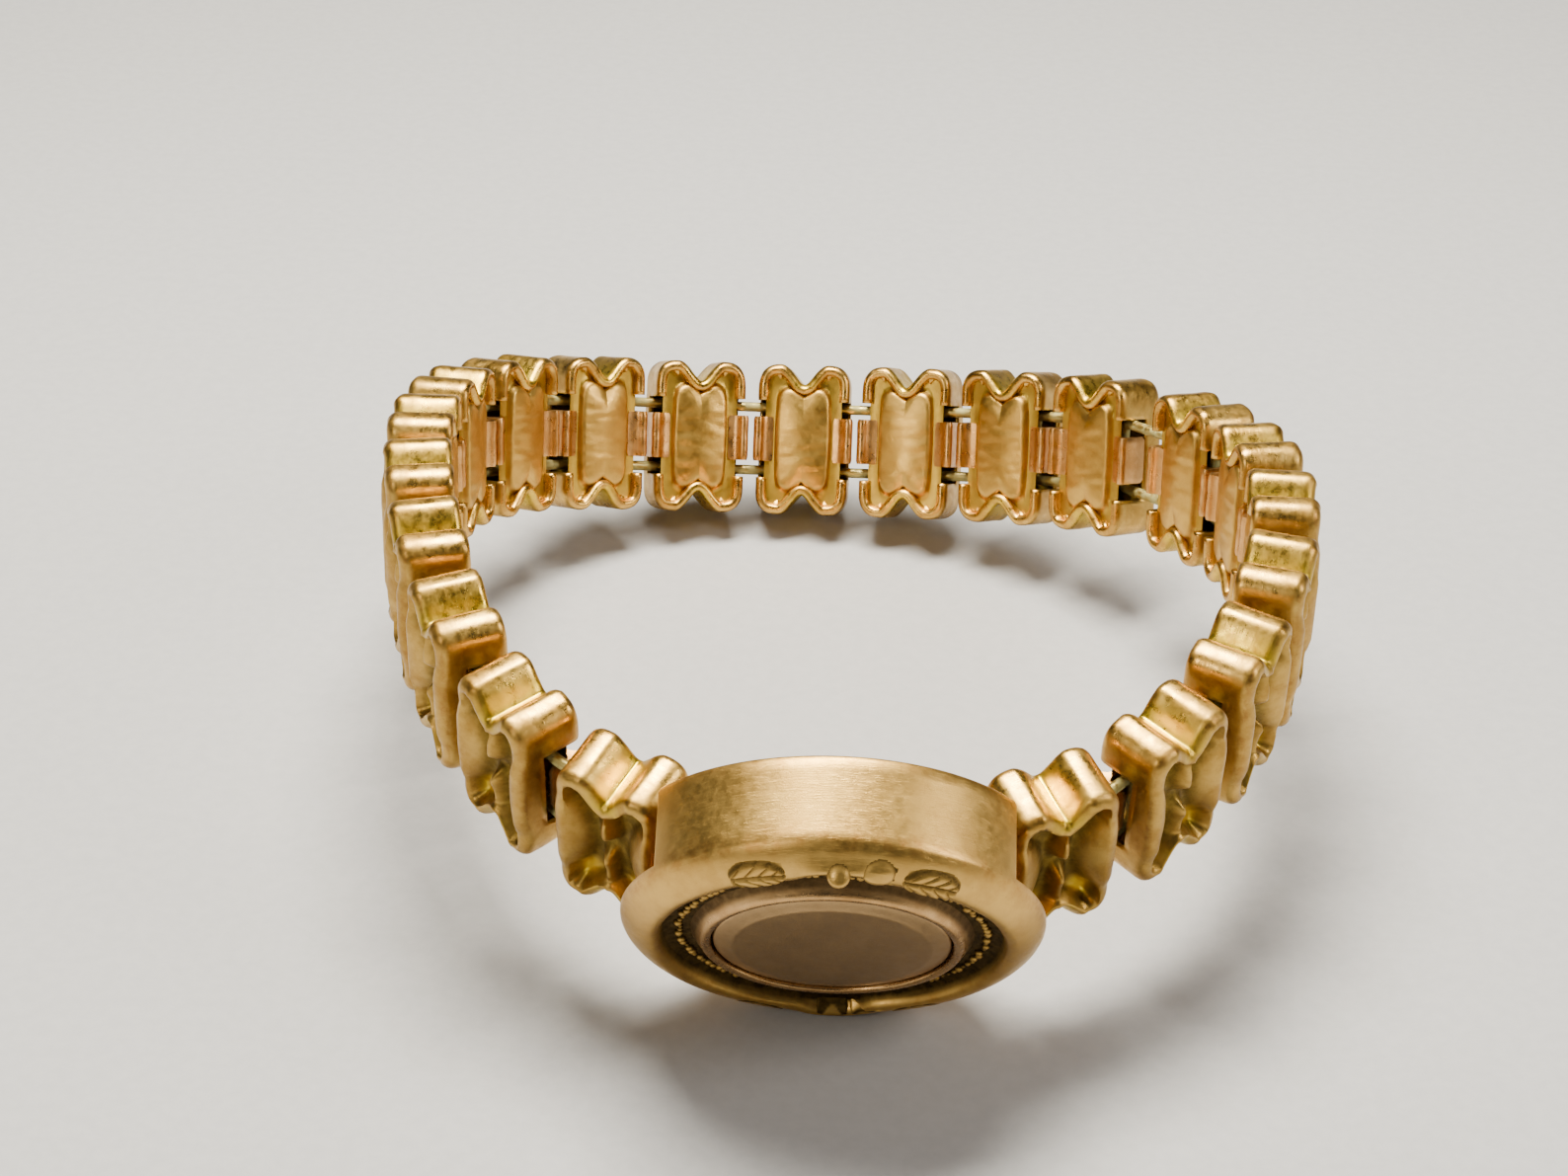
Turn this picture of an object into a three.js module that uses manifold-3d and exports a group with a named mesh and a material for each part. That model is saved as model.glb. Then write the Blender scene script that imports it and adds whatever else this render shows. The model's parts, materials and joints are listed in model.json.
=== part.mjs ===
// Expansion band bracelet: a closed ring of sprung double-humped links and one round medallion.
// Every joint has a U-shaped wire hook: its crossbar turns in one link and its feet slide in the next.
// Millimetres, +Z up. The band lies gently bowed, its medallion in front at -Y.
import * as THREE from 'three';
import { mergeVertices } from 'three/addons/utils/BufferGeometryUtils.js';
import Module from 'manifold-3d';

const wasm = await Module();
wasm.setup();

// ---- Driving dimensions -------------------------------------------------------------------

// The ring
const LINK_COUNT = 21;
const PITCH = 6.5;               // link to link with the joint closed
const MEDALLION_SPAN = 13.5;     // joint to joint across the medallion
const OPEN_JOINT = 15;           // the joint that has stayed stretched
const OPEN_JOINT_GAP = 2.2;      // how far it is stretched
const BOW_RADIUS = 60;           // the band lies over a wide bow, front and back lower than its sides
const BOW_CREST = 3;             // place of the bow's highest line, in the unrolled plan
const STANDING_LENGTH = 45;      // between the places where the ring stands, front and back
const FRONT_SHIFT = -19.5;       // place of the medallion's joints, in the unrolled plan
// Uneven turning of the band round its ring, degrees a joint: second and third harmonics
const OVAL_COS = 5.4;
const OVAL_SIN = -1.8;
const EGG_COS = 4.0;
const EGG_SIN = 2.7;

// A link
const BAND_HEIGHT = 9.5;
const SHELL_WIDTH = 5.8;
const SHELL_DEPTH = 4.0;
const VALLEY_DEPTH = 1.35;       // dip between the two humps
const HUMP_CREST = 1.45;         // crest of a hump from the link's middle
const SHOULDER_DROP = 1.35;      // where the outer curve of a hump starts below its crest
const RIM_WIDTH = 0.62;          // curled rim round the back plate
const CHANNEL_DEPTH = 0.35;      // channel between rim and pillow
const PLATE_THICKNESS = 0.4;
const WALL = 0.35;
const FRONT_RECESS = 1.1;        // depth of the four-lobed recess
const BACK_SET = 0.05;           // pillow and tab rolls stop this short of the rim's plane
const NOTCH_HALF_HEIGHT = 2.75;  // side opening of the shell
const NOTCH_DEPTH = 2.3;
const TAB_HALF_HEIGHT = 1.3;     // folded tab of the back plate, in the notch
const TAB_REACH = 3.12;
const CAVITY_HALF_HEIGHT = 3.5;

// A wire hook
const WIRE = 0.8;                // its square section
const LEG_OFFSET = 2.0;          // legs above and below mid-height
const WIRE_RADIAL = 1.6;         // wire centre from the band's inner face
const PIVOT_INSET = 1.45;        // crossbar centre back from the joint, inside the parent link
const ENTRY = 0.15;              // past the joint, where the legs run straight into the child link
const FOOT_FAR_END = 4.15;       // far side of the feet from the joint
const FOOT_THICKNESS = 0.4;
const FOOT_REACH = 3.0;          // feet turn outwards to here from mid-height

// The medallion
const MEDALLION_RADIUS = 10.4;
const MEDALLION_DEPTH = 5.7;
const MEDALLION_OFFSET = 0.6;    // its back stands this far out from the band's inner face
const MEDALLION_LEAN = 12.5;       // degrees, face turned down
const NEST_HALF_WIDTH = 6.6;     // flat sides behind the front flange, where the end links nest
const NEST_HALF_HEIGHT = 5.9;
const NEST_DEPTH = 4.1;
const WINDOW_HEIGHT = 1.8;       // side windows for the legs of the two end hooks
const WINDOW_TOP = 2.7;
const BORDER_INNER = 8.3;
const BORDER_SLOPE = 1.5;        // how far the domed border falls back towards its outer edge
const RECESS_FLOOR = 5.0;
const CASE_INSIDE_HALF_WIDTH = 6.2;
const CASE_INSIDE_DEPTH = 3.2;
const CROSSBAR_RISE = 0.9;       // the first hook's crossbar sits this much further out, in its clip
const LAST_LEGS_RISE = 0.3;      // and the last hook's legs this much, along the guide block
const LAST_LEGS_LEAN = 0.36;      // share of the medallion's lean that the last hook follows
const COVER_THICKNESS = 0.35;
const COVER_RADIUS = 9.2;
const COVER_GAP = 0.1;           // round the cover, in its seat
const COVER_SIDE_INSET = 1.25;   // the cover's flat sides stop this short of the nests
const BEZEL_OUTER = 6.35;
const BEZEL_INNER = 5.9;
const BEZEL_RISE = 0.2;          // above the disc's face
const DISC_RADIUS = 5.6;
const DISC_FLAT_RADIUS = 4.9;
const DISC_BEVEL = 0.25;
const SEAT_GAP = 0.25;           // under the bezel and the disc
const LUG_GAP = 0.25;            // between the cover and the lugs
const ROUND_SEGMENTS = 48;

// ---- Materials ----------------------------------------------------------------------------

function metal(color, roughness) {
  return new THREE.MeshStandardMaterial({ color, roughness, metalness: 1 });
}

const shellGold = () => metal(0xc8a569, 0.35);
const hookBrass = () => metal(0xa9ac70, 0.5);
const caseGold = () => metal(0xd4b078, 0.45);
const discGold = () => metal(0x9a7f58, 0.4);
const innerSteel = () => metal(0x8c8470, 0.5);

// ---- Solids -------------------------------------------------------------------------------

function toSolid(geometry) {
  const plain = geometry.clone();
  plain.deleteAttribute('normal');
  plain.deleteAttribute('uv');
  const merged = mergeVertices(plain, 1e-4);
  return new wasm.Manifold(new wasm.Mesh({
    numProp: 3,
    vertProperties: new Float32Array(merged.attributes.position.array),
    triVerts: new Uint32Array(merged.index.array),
  }));
}

function toGeometry(solid) {
  const mesh = solid.getMesh();
  const geometry = new THREE.BufferGeometry();
  geometry.setAttribute('position', new THREE.BufferAttribute(new Float32Array(mesh.vertProperties), 3));
  geometry.setIndex(new THREE.BufferAttribute(new Uint32Array(mesh.triVerts), 1));
  return geometry;
}

// In every piece x runs along the band, y outwards and z up.
function block(xRange, yRange, zRange) {
  const [sizeX, sizeY, sizeZ] = [xRange, yRange, zRange].map(([low, high]) => high - low);
  const geometry = new THREE.BoxGeometry(sizeX, sizeY, sizeZ);
  geometry.translate(xRange[0] + sizeX / 2, yRange[0] + sizeY / 2, zRange[0] + sizeZ / 2);
  return toSolid(geometry);
}

// A flat outline in x and z, given thickness from yLow to yHigh
function slab(shape, yLow, yHigh, curveSegments) {
  const geometry = new THREE.ExtrudeGeometry(shape, {
    depth: yHigh - yLow, bevelEnabled: false, curveSegments,
  });
  geometry.rotateX(Math.PI / 2);
  geometry.translate(0, yHigh, 0);
  return toSolid(geometry);
}

function disc(profile) {
  return new THREE.LatheGeometry(profile.map(([radius, y]) => new THREE.Vector2(radius, y)), ROUND_SEGMENTS);
}

// ---- Link housing: curled shell with its back plate -----------------------------------------

// Double-humped outline, inset all round by a margin
function humpedOutline(margin) {
  const side = SHELL_WIDTH / 2 - margin;
  const crest = BAND_HEIGHT / 2 - margin;
  const shoulder = BAND_HEIGHT / 2 - SHOULDER_DROP;
  const valley = BAND_HEIGHT / 2 - VALLEY_DEPTH - margin;
  const shape = new THREE.Shape();
  shape.moveTo(side, -shoulder);
  shape.lineTo(side, shoulder);
  shape.quadraticCurveTo(side, crest, HUMP_CREST, crest);
  shape.quadraticCurveTo(HUMP_CREST / 4, crest, 0, valley);
  shape.quadraticCurveTo(-HUMP_CREST / 4, crest, -HUMP_CREST, crest);
  shape.quadraticCurveTo(-side, crest, -side, shoulder);
  shape.lineTo(-side, -shoulder);
  shape.quadraticCurveTo(-side, -crest, -HUMP_CREST, -crest);
  shape.quadraticCurveTo(-HUMP_CREST / 4, -crest, 0, -valley);
  shape.quadraticCurveTo(HUMP_CREST / 4, -crest, HUMP_CREST, -crest);
  shape.quadraticCurveTo(side, -crest, side, -shoulder);
  return shape;
}

// Four-lobed recess of the front, with a tongue from above and below and pinched sides
function frontRecessOutline() {
  const waist = 1.45;
  const lobeSide = 2.25;
  const lobeMid = 2.7;
  const lobeTop = 3.95;
  const lobeCentre = 1.3;
  const lobeInner = lobeCentre * 0.6;
  const tongueRoot = lobeCentre * 0.45;
  const lobeStart = lobeTop - 0.7;
  const tongueTip = 1.3;
  const shape = new THREE.Shape();
  shape.moveTo(0, tongueTip);
  shape.lineTo(tongueRoot, lobeStart);
  shape.quadraticCurveTo(lobeInner, lobeTop, lobeCentre, lobeTop);
  shape.quadraticCurveTo(lobeSide, lobeTop, lobeSide, lobeMid);
  shape.lineTo(waist, 0);
  shape.lineTo(lobeSide, -lobeMid);
  shape.quadraticCurveTo(lobeSide, -lobeTop, lobeCentre, -lobeTop);
  shape.quadraticCurveTo(lobeInner, -lobeTop, tongueRoot, -lobeStart);
  shape.lineTo(0, -tongueTip);
  shape.lineTo(-tongueRoot, -lobeStart);
  shape.quadraticCurveTo(-lobeInner, -lobeTop, -lobeCentre, -lobeTop);
  shape.quadraticCurveTo(-lobeSide, -lobeTop, -lobeSide, -lobeMid);
  shape.lineTo(-waist, 0);
  shape.lineTo(-lobeSide, lobeMid);
  shape.quadraticCurveTo(-lobeSide, lobeTop, -lobeCentre, lobeTop);
  shape.quadraticCurveTo(-lobeInner, lobeTop, -tongueRoot, lobeStart);
  shape.lineTo(0, tongueTip);
  return shape;
}

// Raised pillow of the back plate, with a small V at top and bottom
function pillowOutline() {
  const side = 1.7;
  const top = 3.15;
  const corner = 0.5;
  const notch = 0.45;
  const shape = new THREE.Shape();
  shape.moveTo(side, -top + corner);
  shape.lineTo(side, top - corner);
  shape.lineTo(side - corner, top);
  shape.lineTo(notch, top);
  shape.lineTo(0, top - notch);
  shape.lineTo(-notch, top);
  shape.lineTo(-side + corner, top);
  shape.lineTo(-side, top - corner);
  shape.lineTo(-side, -top + corner);
  shape.lineTo(-side + corner, -top);
  shape.lineTo(-notch, -top);
  shape.lineTo(0, -top + notch);
  shape.lineTo(notch, -top);
  shape.lineTo(side - corner, -top);
  return shape;
}

function linkHousingSolid() {
  const plateInside = CHANNEL_DEPTH + PLATE_THICKNESS;
  const cavityFront = SHELL_DEPTH - FRONT_RECESS - WALL;
  const halfWidth = SHELL_WIDTH / 2;
  const past = 0.5;
  let solid = slab(humpedOutline(0), 0, SHELL_DEPTH, 2);
  solid = solid.subtract(slab(frontRecessOutline(), SHELL_DEPTH - FRONT_RECESS, SHELL_DEPTH + past, 1));
  solid = solid.subtract(slab(humpedOutline(RIM_WIDTH), -past, CHANNEL_DEPTH, 2));
  solid = solid.add(slab(pillowOutline(), BACK_SET, plateInside, 1));
  solid = solid.subtract(block(
    [-halfWidth + WALL, halfWidth - WALL],
    [plateInside, cavityFront],
    [-CAVITY_HALF_HEIGHT, CAVITY_HALF_HEIGHT],
  ));
  for (const end of [-1, 1]) {
    const edge = end * (halfWidth + past);
    const notchFoot = end * (halfWidth - RIM_WIDTH - BACK_SET);
    solid = solid.subtract(block(
      [Math.min(edge, notchFoot), Math.max(edge, notchFoot)],
      [-past, NOTCH_DEPTH],
      [-NOTCH_HALF_HEIGHT, NOTCH_HALF_HEIGHT],
    ));
    solid = solid.add(foldedTab(end, plateInside));
  }
  return solid;
}

// One side tab: out from the plate, rolled over at the edge, then forwards along the side
function foldedTab(end, plateInside) {
  const rollEdge = 0.2;
  const taper = 0.1;
  const root = SHELL_WIDTH / 2 - RIM_WIDTH - rollEdge;
  const sideInner = SHELL_WIDTH / 2 - WALL;
  const shape = new THREE.Shape();
  shape.moveTo(end * root, CHANNEL_DEPTH);
  shape.lineTo(end * (sideInner - rollEdge), BACK_SET);
  shape.lineTo(end * (TAB_REACH - rollEdge), BACK_SET);
  shape.lineTo(end * TAB_REACH, BACK_SET + rollEdge);
  shape.lineTo(end * TAB_REACH, plateInside);
  shape.lineTo(end * (TAB_REACH - taper), NOTCH_DEPTH - WALL);
  shape.lineTo(end * sideInner, NOTCH_DEPTH - WALL);
  shape.lineTo(end * sideInner, plateInside);
  shape.lineTo(end * root, plateInside);
  const geometry = new THREE.ExtrudeGeometry(shape, {
    depth: 2 * TAB_HALF_HEIGHT, bevelEnabled: false, curveSegments: 1,
  });
  geometry.translate(0, 0, -TAB_HALF_HEIGHT);
  return toSolid(geometry);
}

// ---- Wire hook ------------------------------------------------------------------------------

// Flat U in the child's frame, x from the joint: crossbar at pivotX, legs, feet turned outwards.
// The stretch before the entry point is sheared so that the crossbar sits at pivotY.
function hookGeometry(pivotX, pivotY, reach) {
  const near = pivotX - WIRE / 2;
  const far = FOOT_FAR_END + reach;
  const outer = LEG_OFFSET + WIRE / 2;
  const inner = LEG_OFFSET - WIRE / 2;
  const shape = new THREE.Shape();
  shape.moveTo(near, -outer);
  shape.lineTo(ENTRY, -outer);
  shape.lineTo(far - FOOT_THICKNESS, -outer);
  shape.lineTo(far - FOOT_THICKNESS, -FOOT_REACH);
  shape.lineTo(far, -FOOT_REACH);
  shape.lineTo(far, -inner);
  shape.lineTo(ENTRY, -inner);
  shape.lineTo(pivotX + WIRE / 2, -inner);
  shape.lineTo(pivotX + WIRE / 2, inner);
  shape.lineTo(ENTRY, inner);
  shape.lineTo(far, inner);
  shape.lineTo(far, FOOT_REACH);
  shape.lineTo(far - FOOT_THICKNESS, FOOT_REACH);
  shape.lineTo(far - FOOT_THICKNESS, outer);
  shape.lineTo(ENTRY, outer);
  shape.lineTo(near, outer);
  const geometry = new THREE.ExtrudeGeometry(shape, { depth: WIRE, bevelEnabled: false });
  geometry.rotateX(Math.PI / 2);
  geometry.translate(0, WIRE_RADIAL + WIRE / 2, 0);
  const position = geometry.attributes.position;
  for (let i = 0; i < position.count; i += 1) {
    const back = THREE.MathUtils.clamp((ENTRY - position.getX(i)) / (ENTRY - pivotX), 0, 1);
    position.setY(i, position.getY(i) + back * (pivotY - WIRE_RADIAL));
  }
  geometry.translate(-pivotX, -pivotY, 0);
  return toGeometry(toSolid(geometry));
}

// ---- Medallion --------------------------------------------------------------------------------

function nestCuts(halfWidth, yLow) {
  const past = MEDALLION_RADIUS + 1;
  return [
    block([halfWidth, past], [yLow, NEST_DEPTH], [-NEST_HALF_HEIGHT, NEST_HALF_HEIGHT]),
    block([-past, -halfWidth], [yLow, NEST_DEPTH], [-NEST_HALF_HEIGHT, NEST_HALF_HEIGHT]),
  ];
}

function medallionCase() {
  const edge = 0.3;
  const shoulder = BORDER_INNER + 1.1;
  const crest = BORDER_INNER + 0.45;
  const lip = BORDER_INNER + 0.2;
  const past = 1;
  let solid = toSolid(disc([
    [0, 0],
    [MEDALLION_RADIUS - edge, 0],
    [MEDALLION_RADIUS, edge],
    [MEDALLION_RADIUS, MEDALLION_DEPTH - BORDER_SLOPE],
    [MEDALLION_RADIUS - edge, MEDALLION_DEPTH - 0.6 * BORDER_SLOPE],
    [shoulder, MEDALLION_DEPTH - 0.2 * BORDER_SLOPE],
    [crest, MEDALLION_DEPTH],
    [lip, MEDALLION_DEPTH - 0.1 * BORDER_SLOPE],
    [BORDER_INNER, RECESS_FLOOR],
    [0, RECESS_FLOOR],
  ]));
  for (const cut of nestCuts(NEST_HALF_WIDTH, -past)) {
    solid = solid.subtract(cut);
  }
  // seat of the back cover, then the inside that holds the lugs
  solid = solid.subtract(coverSolid(COVER_GAP).translate([0, -COVER_GAP / 2, 0]));
  solid = solid.subtract(block(
    [-CASE_INSIDE_HALF_WIDTH, CASE_INSIDE_HALF_WIDTH],
    [0, CASE_INSIDE_DEPTH],
    [-CAVITY_HALF_HEIGHT, CAVITY_HALF_HEIGHT],
  ));
  // side windows for the legs of the two end hooks
  const margin = 0.5;
  for (const end of [-1, 1]) {
    for (const level of [-1, 1]) {
      const low = level * LEG_OFFSET - WINDOW_HEIGHT / 2;
      const inside = end * (CASE_INSIDE_HALF_WIDTH - margin);
      const outside = end * (NEST_HALF_WIDTH + margin);
      solid = solid.subtract(block(
        [Math.min(inside, outside), Math.max(inside, outside)],
        [-margin, WINDOW_TOP],
        [low, low + WINDOW_HEIGHT],
      ));
    }
  }
  return toGeometry(solid);
}

function coverSolid(margin) {
  const top = COVER_THICKNESS + margin;
  let solid = toSolid(disc([
    [0, 0],
    [COVER_RADIUS + margin, 0],
    [COVER_RADIUS + margin, top],
    [0, top],
  ]));
  const past = 1;
  for (const cut of nestCuts(NEST_HALF_WIDTH - COVER_SIDE_INSET + margin, -past)) {
    solid = solid.subtract(cut);
  }
  return solid;
}

function bezelRing() {
  const foot = RECESS_FLOOR + SEAT_GAP;
  const top = MEDALLION_DEPTH + BEZEL_RISE;
  const shoulder = top - 0.15;
  return disc([
    [BEZEL_INNER, foot],
    [BEZEL_OUTER, foot],
    [BEZEL_OUTER, shoulder],
    [(BEZEL_OUTER + BEZEL_INNER) / 2, top],
    [BEZEL_INNER, shoulder],
    [BEZEL_INNER, foot],
  ]);
}

function signetDisc() {
  const foot = RECESS_FLOOR + SEAT_GAP;
  return disc([
    [0, foot],
    [DISC_RADIUS, foot],
    [DISC_RADIUS, MEDALLION_DEPTH - DISC_BEVEL],
    [DISC_FLAT_RADIUS, MEDALLION_DEPTH],
    [0, MEDALLION_DEPTH],
  ]);
}

// Clip that the crossbar of the first hook turns in, open towards the joint
function leftLug() {
  const centre = MEDALLION_SPAN / 2 - PIVOT_INSET;
  const middle = WIRE_RADIAL + CROSSBAR_RISE - MEDALLION_OFFSET;
  const bore = 0.82;
  const outer = 1.15;
  const halfHeight = 0.8;
  const length = 2.6;
  const past = 2;
  let solid = block(
    [centre - length, centre + bore],
    [COVER_THICKNESS + LUG_GAP, middle + outer],
    [-halfHeight, halfHeight],
  );
  solid = solid.subtract(block([centre - bore, centre + past], [-past, middle + bore], [-past, past]));
  return toGeometry(solid);
}

// Guide block that the legs of the last hook slide along
function rightLug() {
  const wallGap = 0.3;
  const length = 3.3;
  const halfHeight = 0.9;
  const start = -CASE_INSIDE_HALF_WIDTH + wallGap;
  return toGeometry(block(
    [start, start + length],
    [COVER_THICKNESS + LUG_GAP, CASE_INSIDE_DEPTH - wallGap],
    [-halfHeight, halfHeight],
  ));
}

// ---- The ring's lie ---------------------------------------------------------------------------

// Headings of the links, from the turn at each joint; the first harmonic is what closes the ring
function headings(closeCos, closeSin) {
  const joints = LINK_COUNT + 1;
  const list = [];
  let heading = 180;
  for (let j = 0; j < LINK_COUNT; j += 1) {
    const phase = (2 * Math.PI * (j + 0.5)) / joints;
    heading -= 360 / joints
      + closeCos * Math.cos(phase) + closeSin * Math.sin(phase)
      + OVAL_COS * Math.cos(2 * phase) + OVAL_SIN * Math.sin(2 * phase)
      + EGG_COS * Math.cos(3 * phase) + EGG_SIN * Math.sin(3 * phase);
    list.push(THREE.MathUtils.degToRad(heading));
  }
  return list;
}

// Unrolled plan: centre and heading of every link, and where the last link ends
function walk(angles) {
  const links = [];
  const point = new THREE.Vector2(-MEDALLION_SPAN / 2, 0);
  angles.forEach((angle, index) => {
    const along = new THREE.Vector2(Math.cos(angle), Math.sin(angle));
    if (index === OPEN_JOINT - 1) {
      point.addScaledVector(along, OPEN_JOINT_GAP);
    }
    links.push({ centre: point.clone().addScaledVector(along, PITCH / 2), angle });
    point.addScaledVector(along, PITCH);
  });
  return { links, gap: point.sub(new THREE.Vector2(MEDALLION_SPAN / 2, 0)) };
}

// Newton steps on the two first-harmonic amounts until the ring closes
function closedPlan() {
  const step = 0.01;
  let [a, b] = [0, 0];
  for (let round = 0; round < 12; round += 1) {
    const here = walk(headings(a, b)).gap;
    const dA = walk(headings(a + step, b)).gap.sub(here).divideScalar(step);
    const dB = walk(headings(a, b + step)).gap.sub(here).divideScalar(step);
    const det = dA.x * dB.y - dA.y * dB.x;
    a -= (here.x * dB.y - here.y * dB.x) / det;
    b -= (dA.x * here.y - dA.y * here.x) / det;
  }
  return walk(headings(a, b)).links;
}

// Frame on the bow at an unrolled place: x along the band, y outwards, z up its height
function bowedFrame(centre, angle) {
  const bend = (centre.y - BOW_CREST) / BOW_RADIUS;
  const away = new THREE.Vector3(0, Math.cos(bend), -Math.sin(bend));
  const up = new THREE.Vector3(0, Math.sin(bend), Math.cos(bend));
  const right = new THREE.Vector3(1, 0, 0);
  const along = right.clone().multiplyScalar(Math.cos(angle)).addScaledVector(away, Math.sin(angle));
  const outwards = right.clone().multiplyScalar(-Math.sin(angle)).addScaledVector(away, Math.cos(angle));
  const frame = new THREE.Matrix4().makeBasis(along, outwards, up);
  frame.setPosition(
    centre.x,
    BOW_CREST + BOW_RADIUS * Math.sin(bend),
    BOW_RADIUS * (Math.cos(bend) - 1),
  );
  return frame;
}

// ---- Assembly ---------------------------------------------------------------------------------

const band = new THREE.Group();

function place(name, geometry, material, matrix, parent = band) {
  const mesh = new THREE.Mesh(geometry, material);
  mesh.name = name;
  matrix.decompose(mesh.position, mesh.quaternion, mesh.scale);
  parent.add(mesh);
  return mesh;
}

const plan = closedPlan();
plan.forEach((link) => {
  link.centre.y += FRONT_SHIFT;
});
const linkFrames = plan.map((link) => bowedFrame(link.centre, link.angle));
const medallionBase = bowedFrame(new THREE.Vector2(0, FRONT_SHIFT), Math.PI);
const medallionFrame = medallionBase.clone()
  .multiply(new THREE.Matrix4().makeTranslation(0, MEDALLION_OFFSET, 0))
  .multiply(new THREE.Matrix4().makeRotationX(-THREE.MathUtils.degToRad(MEDALLION_LEAN)));

const housing = toGeometry(linkHousingSolid());
linkFrames.forEach((frame, index) => {
  const number = String(index + 1).padStart(2, '0');
  place(`link_housing_${number}`, housing.clone(), shellGold(), frame);
});

// Hook k: crossbar in body k - 1, feet in body k; body 0 and body 22 are the medallion.
// Its mesh stands with the origin on the crossbar, x along the child body.
const leftInside = medallionBase.clone()
  .multiply(new THREE.Matrix4().makeTranslation(0, CROSSBAR_RISE, 0));
const rightInside = medallionBase.clone()
  .multiply(new THREE.Matrix4().makeTranslation(0, LAST_LEGS_RISE, 0))
  .multiply(new THREE.Matrix4().makeRotationX(-THREE.MathUtils.degToRad(MEDALLION_LEAN * LAST_LEGS_LEAN)));
for (let k = 1; k <= LINK_COUNT + 1; k += 1) {
  const parentFrame = k === 1 ? leftInside : linkFrames[k - 2];
  const childFrame = k === LINK_COUNT + 1 ? rightInside : linkFrames[k - 1];
  const parentHalf = (k === 1 ? MEDALLION_SPAN : PITCH) / 2;
  const childHalf = (k === LINK_COUNT + 1 ? MEDALLION_SPAN : PITCH) / 2;
  const pivot = new THREE.Vector3(parentHalf - PIVOT_INSET, WIRE_RADIAL, 0).applyMatrix4(parentFrame);
  const inChild = pivot.clone().applyMatrix4(childFrame.clone().invert());
  const origin = new THREE.Vector3(inChild.x, inChild.y, inChild.z / 2).applyMatrix4(childFrame);
  const hookFrame = childFrame.clone().setPosition(origin);
  const stretched = k === OPEN_JOINT ? OPEN_JOINT_GAP : 0;
  place(
    `link_hook_${String(k).padStart(2, '0')}`,
    hookGeometry(inChild.x + childHalf, inChild.y, -stretched),
    hookBrass(),
    hookFrame,
  );
}

place('medallion_case', medallionCase(), caseGold(), medallionFrame);
place('medallion_back_cover', toGeometry(coverSolid(-COVER_GAP)), caseGold(), medallionFrame);
place('bezel_ring', toGeometry(toSolid(bezelRing())), caseGold(), medallionFrame);
place('signet_disc', toGeometry(toSolid(signetDisc())), discGold(), medallionFrame);
place('left_lug', leftLug(), innerSteel(), medallionFrame);
place('right_lug', rightLug(), innerSteel(), medallionFrame);

// Tip the ring so that the medallion and the back links both stand on z = 0, then centre it.
function lowest(list) {
  return Math.min(...list.map((mesh) => new THREE.Box3().setFromObject(mesh, true).min.z));
}

const bracelet = new THREE.Group();
bracelet.add(band);
const frontPieces = band.children.filter((mesh) => mesh.name.startsWith('medallion'));
const backPieces = band.children.filter((mesh) => mesh.name.startsWith('link_housing'));
for (let round = 0; round < 8; round += 1) {
  band.updateWorldMatrix(true, true);
  const rise = lowest(frontPieces) - lowest(backPieces);
  band.rotation.x += rise / STANDING_LENGTH;
}
band.updateWorldMatrix(true, true);
const bounds = new THREE.Box3().setFromObject(band, true);
band.position.set(
  -(bounds.min.x + bounds.max.x) / 2,
  -(bounds.min.y + bounds.max.y) / 2,
  -bounds.min.z,
);

export default bracelet;
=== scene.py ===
import itertools
import json
import math
import random

import bpy
import numpy as np
from mathutils import Matrix, Vector, noise


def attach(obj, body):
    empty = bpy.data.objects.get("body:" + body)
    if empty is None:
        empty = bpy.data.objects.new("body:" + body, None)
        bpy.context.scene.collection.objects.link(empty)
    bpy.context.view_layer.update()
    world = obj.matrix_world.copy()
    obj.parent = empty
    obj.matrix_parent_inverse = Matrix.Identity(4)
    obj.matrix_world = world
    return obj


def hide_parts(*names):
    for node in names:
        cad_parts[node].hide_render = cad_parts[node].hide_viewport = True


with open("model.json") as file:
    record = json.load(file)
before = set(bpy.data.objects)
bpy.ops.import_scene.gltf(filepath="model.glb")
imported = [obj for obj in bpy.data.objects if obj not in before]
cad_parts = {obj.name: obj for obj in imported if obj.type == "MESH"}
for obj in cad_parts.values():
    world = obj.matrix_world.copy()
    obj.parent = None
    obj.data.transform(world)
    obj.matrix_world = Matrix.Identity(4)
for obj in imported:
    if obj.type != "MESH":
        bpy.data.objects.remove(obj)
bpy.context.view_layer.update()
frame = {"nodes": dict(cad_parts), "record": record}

MM = 0.001
LINKS = 21
OPEN_JOINT = 15
noise.seed_set(5)       # the dents follow it

# ---- Camera ----
CAMERA_PLACE = (-0.5, -151.6, 105.9)    # mm
CAMERA_TILT = 31.9                      # degrees below level
CAMERA_TURN = 1.0                       # degrees, to the left
CAMERA_ROLL = 1.5                       # degrees
CAMERA_LENS = 74.0                      # mm, on a sensor 36 mm wide

# ---- A link, in mm: t along the band, r outwards, h up ----
PITCH = 6.5
HALF_WIDTH = 2.9
HALF_HEIGHT = 4.75
DEPTH = 4.0
VALLEY = 1.25           # dip between the humps
VALLEY_FOOT = 0.16      # softness of its lowest point
CREST_T = 1.5           # crest of a hump from the link's middle
SHOULDER_H = 3.2        # where the outer curve of a hump starts
NOTCH_H = 2.45          # side opening for the tab and the wires
NOTCH_R = 2.3
EDGE_ROUND = 0.62       # between the front and the wall
RIM_START = 0.6         # the wall curls inwards below this
PLATE_R = 0.6           # floor of the channel round the pillow
PILLOW_SIDE = 1.6
PILLOW_TOP = 3.25
PILLOW_CORNER = 0.75
PILLOW_V = 0.5          # dip in the pillow's ends
PILLOW_BASE_R = 0.22    # foot of the pillow's crown
PILLOW_CROWN = 0.19     # how far the crown rises inwards from it
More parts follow.
